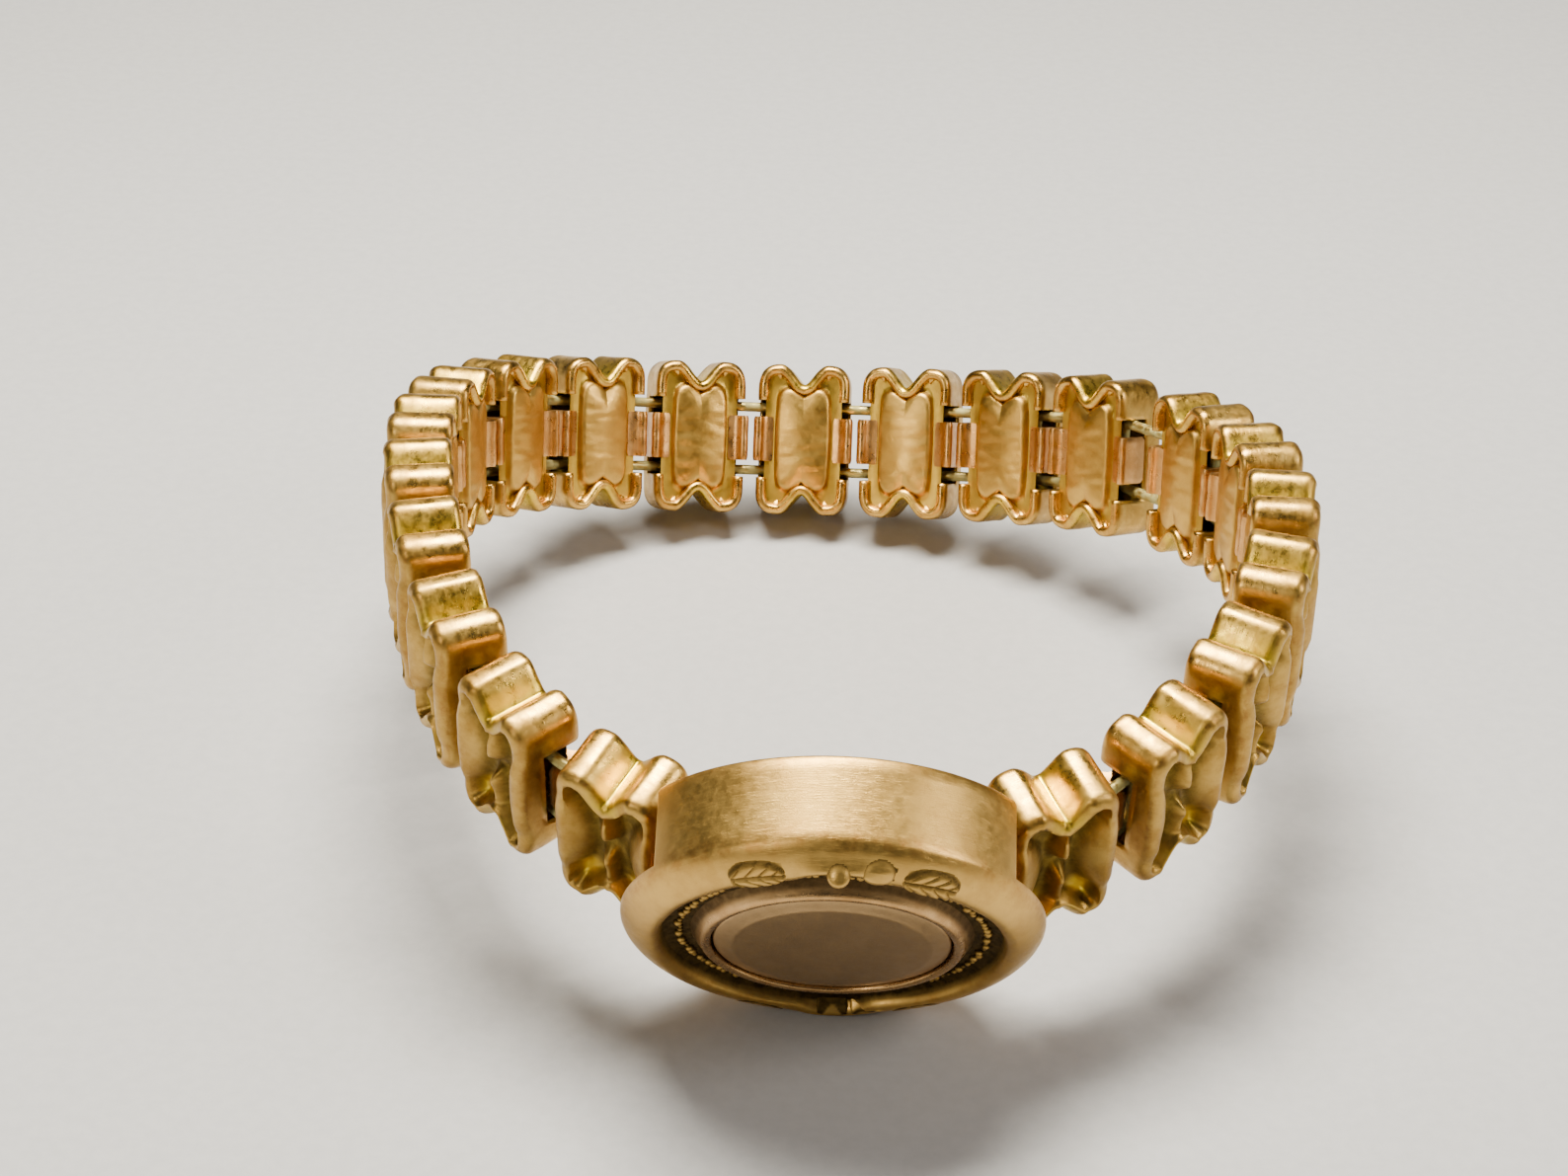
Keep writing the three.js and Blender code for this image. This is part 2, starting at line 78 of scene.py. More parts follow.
RELIEF = 1.35           # depth of the pressed front
SHEET = 0.28            # metal thickness shown at the side openings
FRONT_SHEET_SHARE = 0.1 # of that thickness, behind the pressed front
TAB_HALF_H = 1.4        # folded tab, in the notch

# ---- Wires, in mm ----
WIRE_R = 1.6            # the wire's centre from the band's inner face
WIRE_RADIUS = 0.31
WIRE_BEND = 0.55
LEG_H = 2.0             # legs above and below mid-height
PIVOT_INSET = 1.45      # crossbar centre back from the joint
ENTRY = 0.15            # past the joint, where the legs run straight
FOOT_FAR = 4.15         # far side of the feet from the joint
FOOT_TIP = 3.0          # feet turn outwards to here from mid-height
OPEN_GAP = 2.2          # how far the open joint is stretched


# ---- Mesh helpers ----

def mesh_object(name, points, faces, sharp=40.0):
    """Smooth-shaded object from points in mm, with edges steeper than `sharp` degrees kept sharp."""
    mesh = bpy.data.meshes.new(name)
    mesh.from_pydata([tuple(MM * c for c in p) for p in points], [], faces)
    mesh.validate()
    mesh.shade_smooth()
    mesh.set_sharp_from_angle(angle=math.radians(sharp))
    obj = bpy.data.objects.new(name, mesh)
    bpy.context.scene.collection.objects.link(obj)
    return obj


def set_attribute(obj, name, values):
    """Gives each point a number that the materials read."""
    attribute = obj.data.attributes.new(name, "FLOAT", "POINT")
    attribute.data.foreach_set("value", np.asarray(values, np.float32))


def merge_close(points, faces, tolerance=1e-5):
    """Joins points that coincide and drops faces that collapse."""
    keys = {}
    remap = []
    kept = []
    for index, point in enumerate(points):
        key = tuple(round(c / tolerance) for c in point)
        if key not in keys:
            keys[key] = len(kept)
            kept.append(index)
        remap.append(keys[key])
    out = []
    for face in faces:
        corners = []
        for index in face:
            new = remap[index]
            if new not in corners:
                corners.append(new)
        if len(corners) > 2:
            out.append(tuple(corners))
    return kept, out


def loft(rows, closed=True):
    """Faces between successive rows of equal length."""
    count = len(rows[0])
    points = [p for row in rows for p in row]
    faces = []
    for a in range(len(rows) - 1):
        for i in range(count if closed else count - 1):
            j = (i + 1) % count
            faces.append((a * count + i, a * count + j, (a + 1) * count + j, (a + 1) * count + i))
    return points, faces


def shrunk(ring, middle, share, shift):
    """A ring drawn in towards its middle and moved."""
    return [middle + (point - middle) * share + shift for point in ring]


def tube(path, radius, sides=12):
    """Round bar along a path, with parallel frames and domed ends."""
    path = [Vector(p) for p in path]
    tangents = []
    for i in range(len(path)):
        ahead = path[min(i + 1, len(path) - 1)]
        behind = path[max(i - 1, 0)]
        tangents.append((ahead - behind).normalized())
    side = tangents[0].orthogonal().normalized()
    rows = []
    for i, (point, tangent) in enumerate(zip(path, tangents)):
        side = (side - tangent * side.dot(tangent)).normalized()
        other = tangent.cross(side)
        ring = []
        for s in range(sides):
            angle = 2 * math.pi * s / sides
            ring.append(point + radius * (math.cos(angle) * side + math.sin(angle) * other))
        dome = tangent * radius * 0.5
        if i == 0:
            for share in (0.0, 0.6, 0.9):
                rows.append(shrunk(ring, point, share, -dome * (1 - share)))
        rows.append(ring)
        if i == len(path) - 1:
            for share in (0.9, 0.6, 0.0):
                rows.append(shrunk(ring, point, share, dome * (1 - share)))
    points, faces = loft(rows)
    kept, faces = merge_close(points, faces)
    return [tuple(points[k]) for k in kept], faces


def rounded_path(corners, radius, steps=5):
    """Polyline whose inner corners are rounded."""
    corners = [Vector(c) for c in corners]
    path = [corners[0]]
    for before, corner, after in zip(corners, corners[1:], corners[2:]):
        cut = min(radius, (before - corner).length * 0.45, (after - corner).length * 0.45)
        start = corner + (before - corner).normalized() * cut
        end = corner + (after - corner).normalized() * cut
        for s in range(steps + 1):
            u = s / steps
            path.append((1 - u) ** 2 * start + 2 * u * (1 - u) * corner + u * u * end)
    path.append(corners[-1])
    return path


def smoothstep(low, high, value):
    u = np.clip((value - low) / (high - low), 0, 1)
    return u * u * (3 - 2 * u)


def smooth_max(a, b, softness):
    """The larger of two values, blended where they are close."""
    mix = np.clip(0.5 + 0.5 * (a - b) / softness, 0, 1)
    return b + (a - b) * mix + softness * mix * (1 - mix)


# ---- Frames ----

def link_frame(node):
    """Place of a link in metres: columns t, r, h from the directions that its surface spreads along."""
    mesh = frame["nodes"][node].data
    co = np.array([v.co for v in mesh.vertices], float)
    mesh.calc_loop_triangles()
    tri = co[np.array([t.vertices for t in mesh.loop_triangles])]
    area = 0.5 * np.linalg.norm(np.cross(tri[:, 1] - tri[:, 0], tri[:, 2] - tri[:, 0]), axis=1)
    middle = (tri.mean(axis=1) * area[:, None]).sum(0) / area.sum()
    tri = tri - middle
    total = tri.sum(axis=1)
    spread = np.einsum("n,nij,nik->jk", area, tri, tri) + np.einsum("n,nj,nk->jk", area, total, total)
    _, vectors = np.linalg.eigh(spread)
    r, h = vectors[:, 0], vectors[:, 2]
    h = h if h[2] > 0 else -h
    r = r if np.dot(r, middle - np.array([0, 0, middle[2]])) > 0 else -r
    t = np.cross(r, h)
    along, out, up = co @ t, co @ r, co @ h
    origin = (along.max() + along.min()) / 2 * t + out.min() * r + (up.max() + up.min()) / 2 * h
    return placed(t, r, h, origin)


def placed(x, y, z, origin):
    """Matrix with the given columns."""
    matrix = Matrix.Identity(4)
    for column, vector in enumerate((x, y, z, origin)):
        for row in range(3):
            matrix[row][column] = float(vector[row])
    return matrix


def joint(name):
    return next(j for j in frame["record"]["behaviour"]["joints"] if j["name"] == name)


def mount(name):
    return next(m for m in frame["record"]["mounts"] if m["name"] == name)


def medallion_frame():
    """Origin at the middle of the back; x towards the frame's -x, y out of the face, z up."""
    out = Vector(mount("signet_face")["axis"]).normalized()
    along = Vector((-1, 0, 0))
    return placed(along, out, along.cross(out), Vector(mount("wrist_face")["pos_m"]))


link_frames = {n: link_frame(f"link_housing_{n:02d}") for n in range(1, LINKS + 1)}
medallion = medallion_frame()


# ---- Link outline ----

SIDE_HEIGHTS = (0.0, 0.62, 1.24, 1.85, NOTCH_H, 2.7, 2.95)
HUMP_STEPS = 12
VALLEY_STEPS = 17


def quarter_outline():
    """One quarter of the double-humped outline, from a side's middle to the foot of the valley."""
    points = [(HALF_WIDTH, h) for h in SIDE_HEIGHTS]
    for s in range(HUMP_STEPS + 1):
        angle = 0.5 * math.pi * s / HUMP_STEPS
        t = CREST_T + (HALF_WIDTH - CREST_T) * math.cos(angle) ** 0.8
        h = SHOULDER_H + (HALF_HEIGHT - SHOULDER_H) * math.sin(angle) ** 0.8
        points.append((t, h))
    for s in range(1, VALLEY_STEPS + 1):
        u = (1 - s / VALLEY_STEPS) ** 1.25
        soft = (math.hypot(u, VALLEY_FOOT) - VALLEY_FOOT) / (math.hypot(1, VALLEY_FOOT) - VALLEY_FOOT)
        points.append((CREST_T * u, HALF_HEIGHT - VALLEY * (1 - math.sin(0.5 * math.pi * soft))))
    return points


def quarter_pillow(count):
    """A quarter of the pillow's outline in `count` points, barrel-sided, with a V at its end."""
    corner = PILLOW_CORNER
    points = []
    side_steps = count * 9 // 16
    for s in range(side_steps):
        h = (PILLOW_TOP - corner) * s / side_steps
        points.append((PILLOW_SIDE + 0.1 * (1 - (h / PILLOW_TOP) ** 2), h))
    round_steps = count * 3 // 16
    for s in range(round_steps):
        angle = 0.5 * math.pi * s / round_steps
        points.append((
            PILLOW_SIDE - corner + corner * math.cos(angle),
            PILLOW_TOP - corner + corner * math.sin(angle),
        ))
    left = count - len(points)
    for s in range(left):
        u = 1 - s / (left - 1)
        points.append(((PILLOW_SIDE - corner) * u, PILLOW_TOP - PILLOW_V * (1 - u) ** 1.3))
    return points


def all_round(quarter):
    """Mirrors a quarter into a closed loop."""
    last = len(quarter) - 1
    loop = list(quarter[:last])
    loop += [(-t, h) for t, h in quarter[:0:-1]]
    loop += [(-t, -h) for t, h in quarter[:last]]
    loop += [(t, -h) for t, h in quarter[:0:-1]]
    return np.array(loop, float)


def inset(loop, amount):
    """Moves a loop inwards, square to itself."""
    ahead = np.roll(loop, -1, axis=0)
    behind = np.roll(loop, 1, axis=0)
    tangent = ahead - behind
    tangent /= np.linalg.norm(tangent, axis=1)[:, None]
    inward = np.stack([-tangent[:, 1], tangent[:, 0]], axis=1)
    moved = loop + inward * amount
    moved[:, 0] = np.where(np.abs(loop[:, 0]) < 1e-9, 0, moved[:, 0])
    return moved


def spine(quarter):
    """Where each outline point ends up on the link's middle line."""
    side_share, hump_rise, valley_rise = 0.38, 0.2, 0.1
    shoulder = len(SIDE_HEIGHTS)
    last = len(quarter) - 1
    crest = max(range(len(quarter)), key=lambda i: quarter[i][1])
    line = []
    for i, (_, h) in enumerate(quarter):
        if i <= shoulder:
            height = side_share * h
        elif i <= crest:
            height = side_share * SHOULDER_H + hump_rise * (i - shoulder) / (crest - shoulder)
        else:
            height = side_share * SHOULDER_H + hump_rise + valley_rise * (i - crest) / (last - crest)
        line.append((0.0, height))
    return all_round(line)


OUTLINE = all_round(quarter_outline())
SPINE = spine(quarter_outline())
PILLOW = all_round(quarter_pillow(len(quarter_outline())))


def distance_to_outline(points):
    """Shortest distance of each point to the outline's segments."""
    a = OUTLINE
    b = np.roll(OUTLINE, -1, axis=0)
    segment = b - a
    length = (segment ** 2).sum(1)
    offset = points[:, None, :] - a[None]
    along = np.clip((offset * segment[None]).sum(2) / length[None], 0, 1)
    nearest = offset - along[:, :, None] * segment[None]
    return np.sqrt((nearest ** 2).sum(2)).min(1)


# ---- Pressed front ----

def pressed(points):
    """The stamped pattern at (t, h): 1 on the raised border, 0 on the sunk ground."""
    t, h = points[:, 0], points[:, 1]
    edge = distance_to_outline(points)
    border = 1 - smoothstep(0.45, 1.15, edge)
    # side slopes that bulge towards each other at mid-height
    reach = 0.45 + 1.3 * np.clip(1 - (h / 3.0) ** 2, 0, 1)
    across = np.clip((HALF_WIDTH - np.abs(t) - 0.45) / reach, 0, 1)
    side = (1 - across ** 1.7) * (1 - smoothstep(2.2, 3.3, np.abs(h)))
    lift = smooth_max(border, side, 0.2)
    # tongue hanging from the top valley, swelling to a drop
    swell = 0.28 + 0.3 * smoothstep(2.6, 1.3, h)
    drop = np.exp(-(t / swell) ** 2 * 1.3) * smoothstep(0.2, 1.0, h)
    lift = smooth_max(lift, 0.92 * drop - 0.04, 0.16)
    # finger rising from the bottom valley
    finger = np.exp(-(t / 0.42) ** 2 * 1.4) * smoothstep(0.0, -0.8, h)
    tip = np.exp(-((t / 0.42) ** 2 + ((h + 1.0) / 0.45) ** 2))
    lift = smooth_max(lift, 0.78 * finger + 0.16 * tip - 0.04, 0.16)
    return np.clip(lift, 0, 1.0)


GRID_STEP = 0.06        # mm
GRID_HALF = (60, 92)    # steps to each side of the middle, along t and h
SOFTNESS = 2.2          # of the sheet, in grid steps
BLUR_REACH = 7          # grid steps


def softened_grid():
    """The pressed pattern on an even grid, blurred as thick sheet metal would round it."""
    axes = [np.arange(-half, half + 1) * GRID_STEP for half in GRID_HALF]
    t, h = np.meshgrid(*axes, indexing="ij")
    flat = np.column_stack([t.ravel(), h.ravel()])
    values = np.concatenate([pressed(part) for part in np.array_split(flat, 40)]).reshape(t.shape)
    reach = np.arange(-BLUR_REACH, BLUR_REACH + 1)
    kernel = np.exp(-0.5 * (reach / SOFTNESS) ** 2)
    kernel /= kernel.sum()

    def blurred(line):
        return np.convolve(np.pad(line, BLUR_REACH, "edge"), kernel, "valid")

    for axis in (0, 1):
        values = np.apply_along_axis(blurred, axis, values)
    return values


PATTERN = softened_grid()


def front_height(points):
    """How high the pressed front stands at (t, h), and how deep in shadow it lies."""
    spots = points / GRID_STEP + np.array(GRID_HALF)
    low = np.clip(np.floor(spots).astype(int), 0, np.array(PATTERN.shape) - 2)
    u, v = (spots - low).T
    i, j = low.T
    lift = ((1 - u) * (1 - v) * PATTERN[i, j] + u * (1 - v) * PATTERN[i + 1, j]
            + (1 - u) * v * PATTERN[i, j + 1] + u * v * PATTERN[i + 1, j + 1])
    return DEPTH - RELIEF * (1 - lift), 1 - lift


def shell_rows():
    """Rows of the shell from the front's middle line, over the edge and wall, to the curled rim."""
    rows = []
    inner = inset(OUTLINE, EDGE_ROUND)
    steps = 26
    for s in range(steps):
        share = 1 - s / steps
        flat = SPINE * share + inner * (1 - share)
        height, _ = front_height(flat)
        rows.append(np.column_stack([flat[:, 0], height, flat[:, 1]]))
    top, _ = front_height(inner)
    bends = 7
    for s in range(bends + 1):
        angle = 0.5 * math.pi * s / bends
        flat = inset(OUTLINE, EDGE_ROUND * (1 - math.sin(angle)))
        height = top - EDGE_ROUND * (1 - math.cos(angle))
        rows.append(np.column_stack([flat[:, 0], height, flat[:, 1]]))
    for r in (3.0, 2.65, NOTCH_R, 1.9, 1.5, 1.1, 0.8):
        rows.append(np.column_stack([OUTLINE[:, 0], np.full(len(OUTLINE), r), OUTLINE[:, 1]]))
    curl = ((0.0, RIM_START), (0.0, 0.4), (0.05, 0.22), (0.16, 0.07), (0.32, 0.0),
            (0.48, 0.03), (0.6, 0.15), (0.66, 0.32), (0.66, 0.66))
    for margin, r in curl:
        flat = inset(OUTLINE, margin)
        rows.append(np.column_stack([flat[:, 0], np.full(len(flat), r), flat[:, 1]]))
    return rows


def in_notch(corners):
    """A wall or rim face that lies in the side opening."""
    middle = corners.mean(0)
    return abs(middle[2]) < NOTCH_H and middle[1] < NOTCH_R and abs(middle[0]) > 2.0


def shell_template():
    rows = shell_rows()
    count = len(OUTLINE)
    points = np.concatenate(rows)
    _, faces = loft([[0] * count] * len(rows))
    faces = [f for f in faces if not in_notch(points[list(f)])]
    kept, faces = merge_close(points, faces)
    return points[kept], faces


def plate_template():
    """Back plate: channel, steep flanks and crown of the pillow."""
    rows = []
    outer = inset(OUTLINE, 0.5)
    middle_line = SPINE * np.array([1, 0.9])
    pillow_base = PILLOW * 1.06
    for share, r in ((0, PLATE_R), (0.35, PLATE_R + 0.04), (0.7, PLATE_R + 0.04), (1, PLATE_R + 0.01)):
        rows.append((outer * (1 - share) + pillow_base * share, r))
    for size, r in ((1.03, 0.54), (1.0, 0.4), (0.975, 0.29), (0.93, PILLOW_BASE_R)):
        rows.append((PILLOW * size, r))
    rings = 9
    for s in range(1, rings + 1):
        share = s / rings
        flat = PILLOW * 0.93 * (1 - share) + middle_line * share
        rows.append((flat, PILLOW_BASE_R - PILLOW_CROWN * math.sin(share * math.pi / 2)))
    solid = [np.column_stack([flat[:, 0], np.full(len(flat), r), flat[:, 1]]) for flat, r in rows]
    points, faces = loft(solid)
    points = np.array(points)
    kept, faces = merge_close(points, faces)
    return points[kept], [tuple(reversed(f)) for f in faces]


def tab_template():
    """One folded tab on the +t side: out from the plate, over the roll, forwards along the side."""
    roll_t, roll_r, roll = 2.84, 0.31, 0.29
    outer = [(1.9, PLATE_R - 0.05), (2.2, PLATE_R - 0.1), (2.42, PLATE_R - 0.2)]
    for s in range(11):
        angle = math.radians(-160 + 160 * s / 10)
        outer.append((roll_t + roll * math.cos(angle), roll_r + roll * math.sin(angle)))
    outer += [(roll_t + roll, 0.9), (roll_t + roll - 0.02, 1.5), (roll_t + roll - 0.06, 2.0)]
    inner = [(roll_t + roll - 0.3, 2.0), (roll_t + roll - 0.28, 0.9), (2.6, 0.75), (1.9, 0.75)]
    profile = outer + inner
    centre_t, centre_r = 2.6, 0.5
    end_round = 0.2
    rows = []
    steps = 14
    for s in range(steps + 1):
        h = -TAB_HALF_H + 2 * TAB_HALF_H * s / steps
        near_end = max(0.0, abs(h) - (TAB_HALF_H - end_round)) / end_round
        shrink = 1 - 0.1 * near_end ** 2
        row = []
        for t, r in profile:
            dimple = 0.03 * math.exp(-((h - 0.25) / 0.35) ** 2) if r < 0.3 else 0.0
            new_t = centre_t + (t - centre_t) * shrink
            new_r = centre_r + (r + dimple - centre_r) * shrink
            row.append((new_t, new_r, h))
        rows.append(row)
    points, faces = loft(rows)
    count = len(profile)
    faces.append(tuple(range(count - 1, -1, -1)))
    faces.append(tuple(range(len(points) - count, len(points))))
    return np.array(points), faces


SHELL = shell_template()
PLATE = plate_template()
TAB = tab_template()


def dented(points, seed, amount):
    """Slight unevenness from wear and hand assembly."""
    shift = Vector((seed * 7.3, seed * 3.1, seed * 5.7))
    moved = points.copy()
    for i, p in enumerate(points):
        wave = noise.noise_vector(Vector(p) * 0.55 + shift) * amount
        fine = noise.noise_vector(Vector(p) * 2.1 + shift) * amount * 0.4
        moved[i] += np.array(wave + fine)
    return moved


def inside_box(points):
    """Keeps a link within its CAD size."""
    points[:, 0] = np.clip(points[:, 0], -3.1, 3.1)
    points[:, 1] = np.clip(points[:, 1], 0.0, DEPTH + 0.02)
    points[:, 2] = np.clip(points[:, 2], -HALF_HEIGHT - 0.02, HALF_HEIGHT + 0.02)
    return points


# ---- Materials ----

class Nodes:
    """Short hand for building a node material."""

    def __init__(self, name):
        self.material = bpy.data.materials.new(name)
        self.material.use_nodes = True
        self.tree = self.material.node_tree
        self.shader = self.tree.nodes["Principled BSDF"]
        self.coords = self.add("ShaderNodeAttribute", attribute_name="spot").outputs["Vector"]

    def add(self, kind, **settings):
        node = self.tree.nodes.new(kind)
        for key, value in settings.items():
            setattr(node, key, value)
        return node

    def link(self, source, target):
        self.tree.links.new(source, target)

    def attribute(self, name):
        return self.add("ShaderNodeAttribute", attribute_name=name).outputs["Fac"]

    def shifted(self, stretch=(1, 1, 1)):
        """The piece's own coordinates in mm, moved by its seed."""
        mapping = self.add("ShaderNodeMapping")
        mapping.inputs["Scale"].default_value = [s / MM for s in stretch]
        self.link(self.coords, mapping.inputs["Vector"])
        seed = self.add("ShaderNodeVectorMath", operation="SCALE")
        seed.inputs[0].default_value = (13.1, 7.7, 5.3)
        self.link(self.attribute("seed"), seed.inputs["Scale"])
        total = self.add("ShaderNodeVectorMath", operation="ADD")
        self.link(mapping.outputs["Vector"], total.inputs[0])
        self.link(seed.outputs["Vector"], total.inputs[1])
        return total.outputs["Vector"]

    def noise(self, vector, scale, detail=4.0, rough=0.6):
        node = self.add("ShaderNodeTexNoise")
        node.inputs["Scale"].default_value = scale
        node.inputs["Detail"].default_value = detail
        node.inputs["Roughness"].default_value = rough
        self.link(vector, node.inputs["Vector"])
        return node.outputs["Fac"]

    def ramp(self, value, low, high, out_low=0.0, out_high=1.0):
        node = self.add("ShaderNodeMapRange", interpolation_type="SMOOTHSTEP")
        sockets = ("From Min", "From Max", "To Min", "To Max")
        for socket, number in zip(sockets, (low, high, out_low, out_high)):
            node.inputs[socket].default_value = number
        self.link(value, node.inputs["Value"])
        return node.outputs["Result"]

    def math(self, operation, a, b):
        node = self.add("ShaderNodeMath", operation=operation)
        for socket, value in zip(node.inputs, (a, b)):
            if isinstance(value, (int, float)):
                socket.default_value = value
            else:
                self.link(value, socket)
        return node.outputs["Value"]

    def mix(self, factor, a, b):
        node = self.add("ShaderNodeMix", data_type="RGBA")
        for index, value in ((0, factor), (6, a), (7, b)):
            if isinstance(value, (int, float)):
                node.inputs[index].default_value = value
            elif isinstance(value, tuple):
                node.inputs[index].default_value = (*value, 1)
            else:
                self.link(value, node.inputs[index])
        return node.outputs[2]

    def bump(self, height, strength, distance, before=None):
        node = self.add("ShaderNodeBump")
        node.inputs["Strength"].default_value = strength
        node.inputs["Distance"].default_value = distance * MM
        self.link(height, node.inputs["Height"])
        if before is not None:
            self.link(before, node.inputs["Normal"])
        return node.outputs["Normal"]


SATIN = (0.53, 0.298, 0.058)
PALE = (0.74, 0.465, 0.11)
# brighter gold for painted highlights
HIGHLIGHT_GOLD = (0.84, 0.60, 0.025)
COPPER = (0.44, 0.215, 0.05)
# dark colour for grime, for painted shade in the hollows, and for dirt specks
DIRT_AND_SHADE = (0.030, 0.018, 0.006)


def worn_gold(name, base=SATIN, light=PALE, rough=(0.27, 0.46), brushed=None, highlight_share=0.0,
              shade_and_grime=1.0, specks=0.3, highlight_colour=HIGHLIGHT_GOLD):
    """Rolled-gold sheet: satin, with painted highlights in a brighter gold, coppery worn edges, and dark
    grime mixed with painted shade in the hollows.
    """
    n = Nodes(name)
    spot = n.shifted()
    cloud = n.noise(spot, 0.55, 5.0, 0.65)
    colour = n.mix(n.ramp(cloud, 0.35, 0.65), base, light)
    # painted highlight: the brighter gold is mixed in where the 'valley' attribute is set
    if highlight_share:
        kept = n.ramp(n.noise(spot, 1.1, 3.0), 0.25, 0.55, 0.45, 1.0)
        amount = n.math("MULTIPLY", n.attribute("valley"), kept)
        colour = n.mix(n.math("MULTIPLY", amount, highlight_share), colour, highlight_colour)
    patches = n.ramp(n.noise(spot, 1.6, 6.0, 0.7), 0.42, 0.66)
    worn = n.math("MULTIPLY", n.attribute("edge"), n.math("ADD", n.math("MULTIPLY", patches, 0.75), 0.2))
    colour = n.mix(worn, colour, COPPER)
    # painted shade with grime: darkened where the 'recess' attribute is set
    shade_and_dirt_noise = n.ramp(n.noise(spot, 2.4, 6.0, 0.7), 0.3, 0.7, 0.85, 1.0)
    shade_and_dirt = n.math("MULTIPLY", n.math("MULTIPLY", n.attribute("recess"), shade_and_dirt_noise), shade_and_grime)
    colour = n.mix(shade_and_dirt, colour, DIRT_AND_SHADE)
    spots = n.ramp(n.noise(spot, 5.0, 4.0, 0.6), 0.62, 0.76)
    colour = n.mix(n.math("MULTIPLY", spots, specks), colour, DIRT_AND_SHADE)
    n.link(colour, n.shader.inputs["Base Color"])
    n.shader.inputs["Metallic"].default_value = 1.0
    gloss = n.ramp(n.noise(spot, 1.9, 6.0, 0.7), 0.3, 0.7, rough[0], rough[1])
    gloss = n.math("ADD", gloss, n.math("MULTIPLY", shade_and_dirt, 0.3))
    n.link(gloss, n.shader.inputs["Roughness"])
    grain = n.noise(spot, 14.0, 4.0, 0.6)
    normal = n.bump(grain, 0.35, 0.012)
    if brushed:
        lines = n.noise(n.shifted(brushed), 5.0, 5.0, 0.7)
        normal = n.bump(lines, 0.4, 0.012, normal)
    scratch = n.noise(n.shifted((0.6, 7.0, 0.5)), 2.2, 4.0, 0.7)
    normal = n.bump(n.ramp(scratch, 0.55, 0.68), 0.25, 0.012, normal)
    n.link(normal, n.shader.inputs["Normal"])
    return n.material


def verdigris_wire(name):
    """Brass wire with a dull green bloom."""
    n = Nodes(name)
    spot = n.shifted()
    bloom = n.ramp(n.noise(spot, 1.3, 6.0, 0.7), 0.4, 0.6)
    colour = n.mix(bloom, (0.50, 0.40, 0.13), (0.47, 0.43, 0.17))
    dark = n.ramp(n.noise(spot, 3.1, 5.0, 0.7), 0.55, 0.72)
    colour = n.mix(n.math("MULTIPLY", dark, 0.6), colour, (0.12, 0.11, 0.06))
    n.link(colour, n.shader.inputs["Base Color"])
    n.link(n.ramp(bloom, 0, 1, 0.95, 0.45), n.shader.inputs["Metallic"])
    n.link(n.ramp(bloom, 0, 1, 0.35, 0.7), n.shader.inputs["Roughness"])
    n.link(n.bump(n.noise(spot, 6.0, 5.0, 0.7), 0.5, 0.03), n.shader.inputs["Normal"])
    return n.material


def studio_paper(name):
    """Pale matt paper with a faint tooth."""
    n = Nodes(name)
    n.coords = n.add("ShaderNodeTexCoord").outputs["Object"]
    vector = n.add("ShaderNodeMapping")
    vector.inputs["Scale"].default_value = [1 / MM] * 3
    n.link(n.coords, vector.inputs["Vector"])
    tooth = n.noise(vector.outputs["Vector"], 1.2, 5.0)
    colour = n.mix(n.ramp(tooth, 0.3, 0.7), (0.44, 0.44, 0.45), (0.47, 0.47, 0.48))
    n.link(colour, n.shader.inputs["Base Color"])
    n.shader.inputs["Roughness"].default_value = 0.85
    n.link(n.bump(tooth, 0.15, 0.05), n.shader.inputs["Normal"])
    return n.material


shell_gold = worn_gold("shell_gold", highlight_share=0.85, rough=(0.22, 0.42))
plate_gold = worn_gold(
    "plate_gold", base=(0.56, 0.325, 0.068), light=(0.68, 0.415, 0.088), rough=(0.30, 0.42),
    brushed=(1.0, 1.0, 6.0), highlight_share=0.35, shade_and_grime=0.7, specks=0.1,
)
tab_gold = worn_gold(
    "tab_gold", base=(0.60, 0.30, 0.09), light=(0.78, 0.44, 0.16), rough=(0.25, 0.4), shade_and_grime=0.8,
)
case_gold = worn_gold(
    "case_gold", base=(0.54, 0.325, 0.083), light=(0.64, 0.40, 0.105), rough=(0.32, 0.42),
    brushed=(0.15, 2.5, 0.15), specks=0.2,
)
bezel_gold = worn_gold(
    "bezel_gold", base=(0.40, 0.23, 0.09), light=(0.56, 0.35, 0.15), rough=(0.22, 0.36), shade_and_grime=0.9,
)
# the disc's darker brown is painted shade, standing for the dark reflection of the ground in front as
# the face tips down; its bevel gets a painted highlight in a lighter colour
disc_gold = worn_gold(
    "disc_gold", base=(0.40, 0.255, 0.115), light=(0.45, 0.29, 0.13), rough=(0.34, 0.42),
    brushed=(6.0, 6.0, 1.0), shade_and_grime=0.8, specks=0.1, highlight_share=0.9, highlight_colour=(0.52, 0.34, 0.16),
)
cover_gold = worn_gold(
    "cover_gold", base=(0.50, 0.29, 0.10), light=(0.66, 0.42, 0.16), rough=(0.28, 0.45), shade_and_grime=0.7,
)
lug_brass = worn_gold(
    "lug_brass", base=(0.38, 0.32, 0.18), light=(0.50, 0.42, 0.24), rough=(0.4, 0.6), shade_and_grime=0.8,
)
wire_brass = verdigris_wire("wire_brass")


# ---- Links ----

def keep_spots(obj, own):
    """Stores each point's own coordinates, which the materials follow."""
    attribute = obj.data.attributes.new("spot", "FLOAT_VECTOR", "POINT")
    attribute.data.foreach_set("vector", np.asarray(own, np.float32).ravel())


def finish_piece(obj, material, body, place, nodes=()):
    """Puts a piece in its place: like the CAD's meshes, it holds the place in its points."""
    keep_spots(obj, [v.co for v in obj.data.vertices])
    obj.data.transform(place)
    obj.data.materials.append(material)
    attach(obj, body)
    if nodes:
        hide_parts(*nodes)
    return obj


def finish_link_piece(obj, material, number, place):
    node = f"link_housing_{number:02d}"
    return finish_piece(obj, material, f"link_{number:02d}", place, [node])


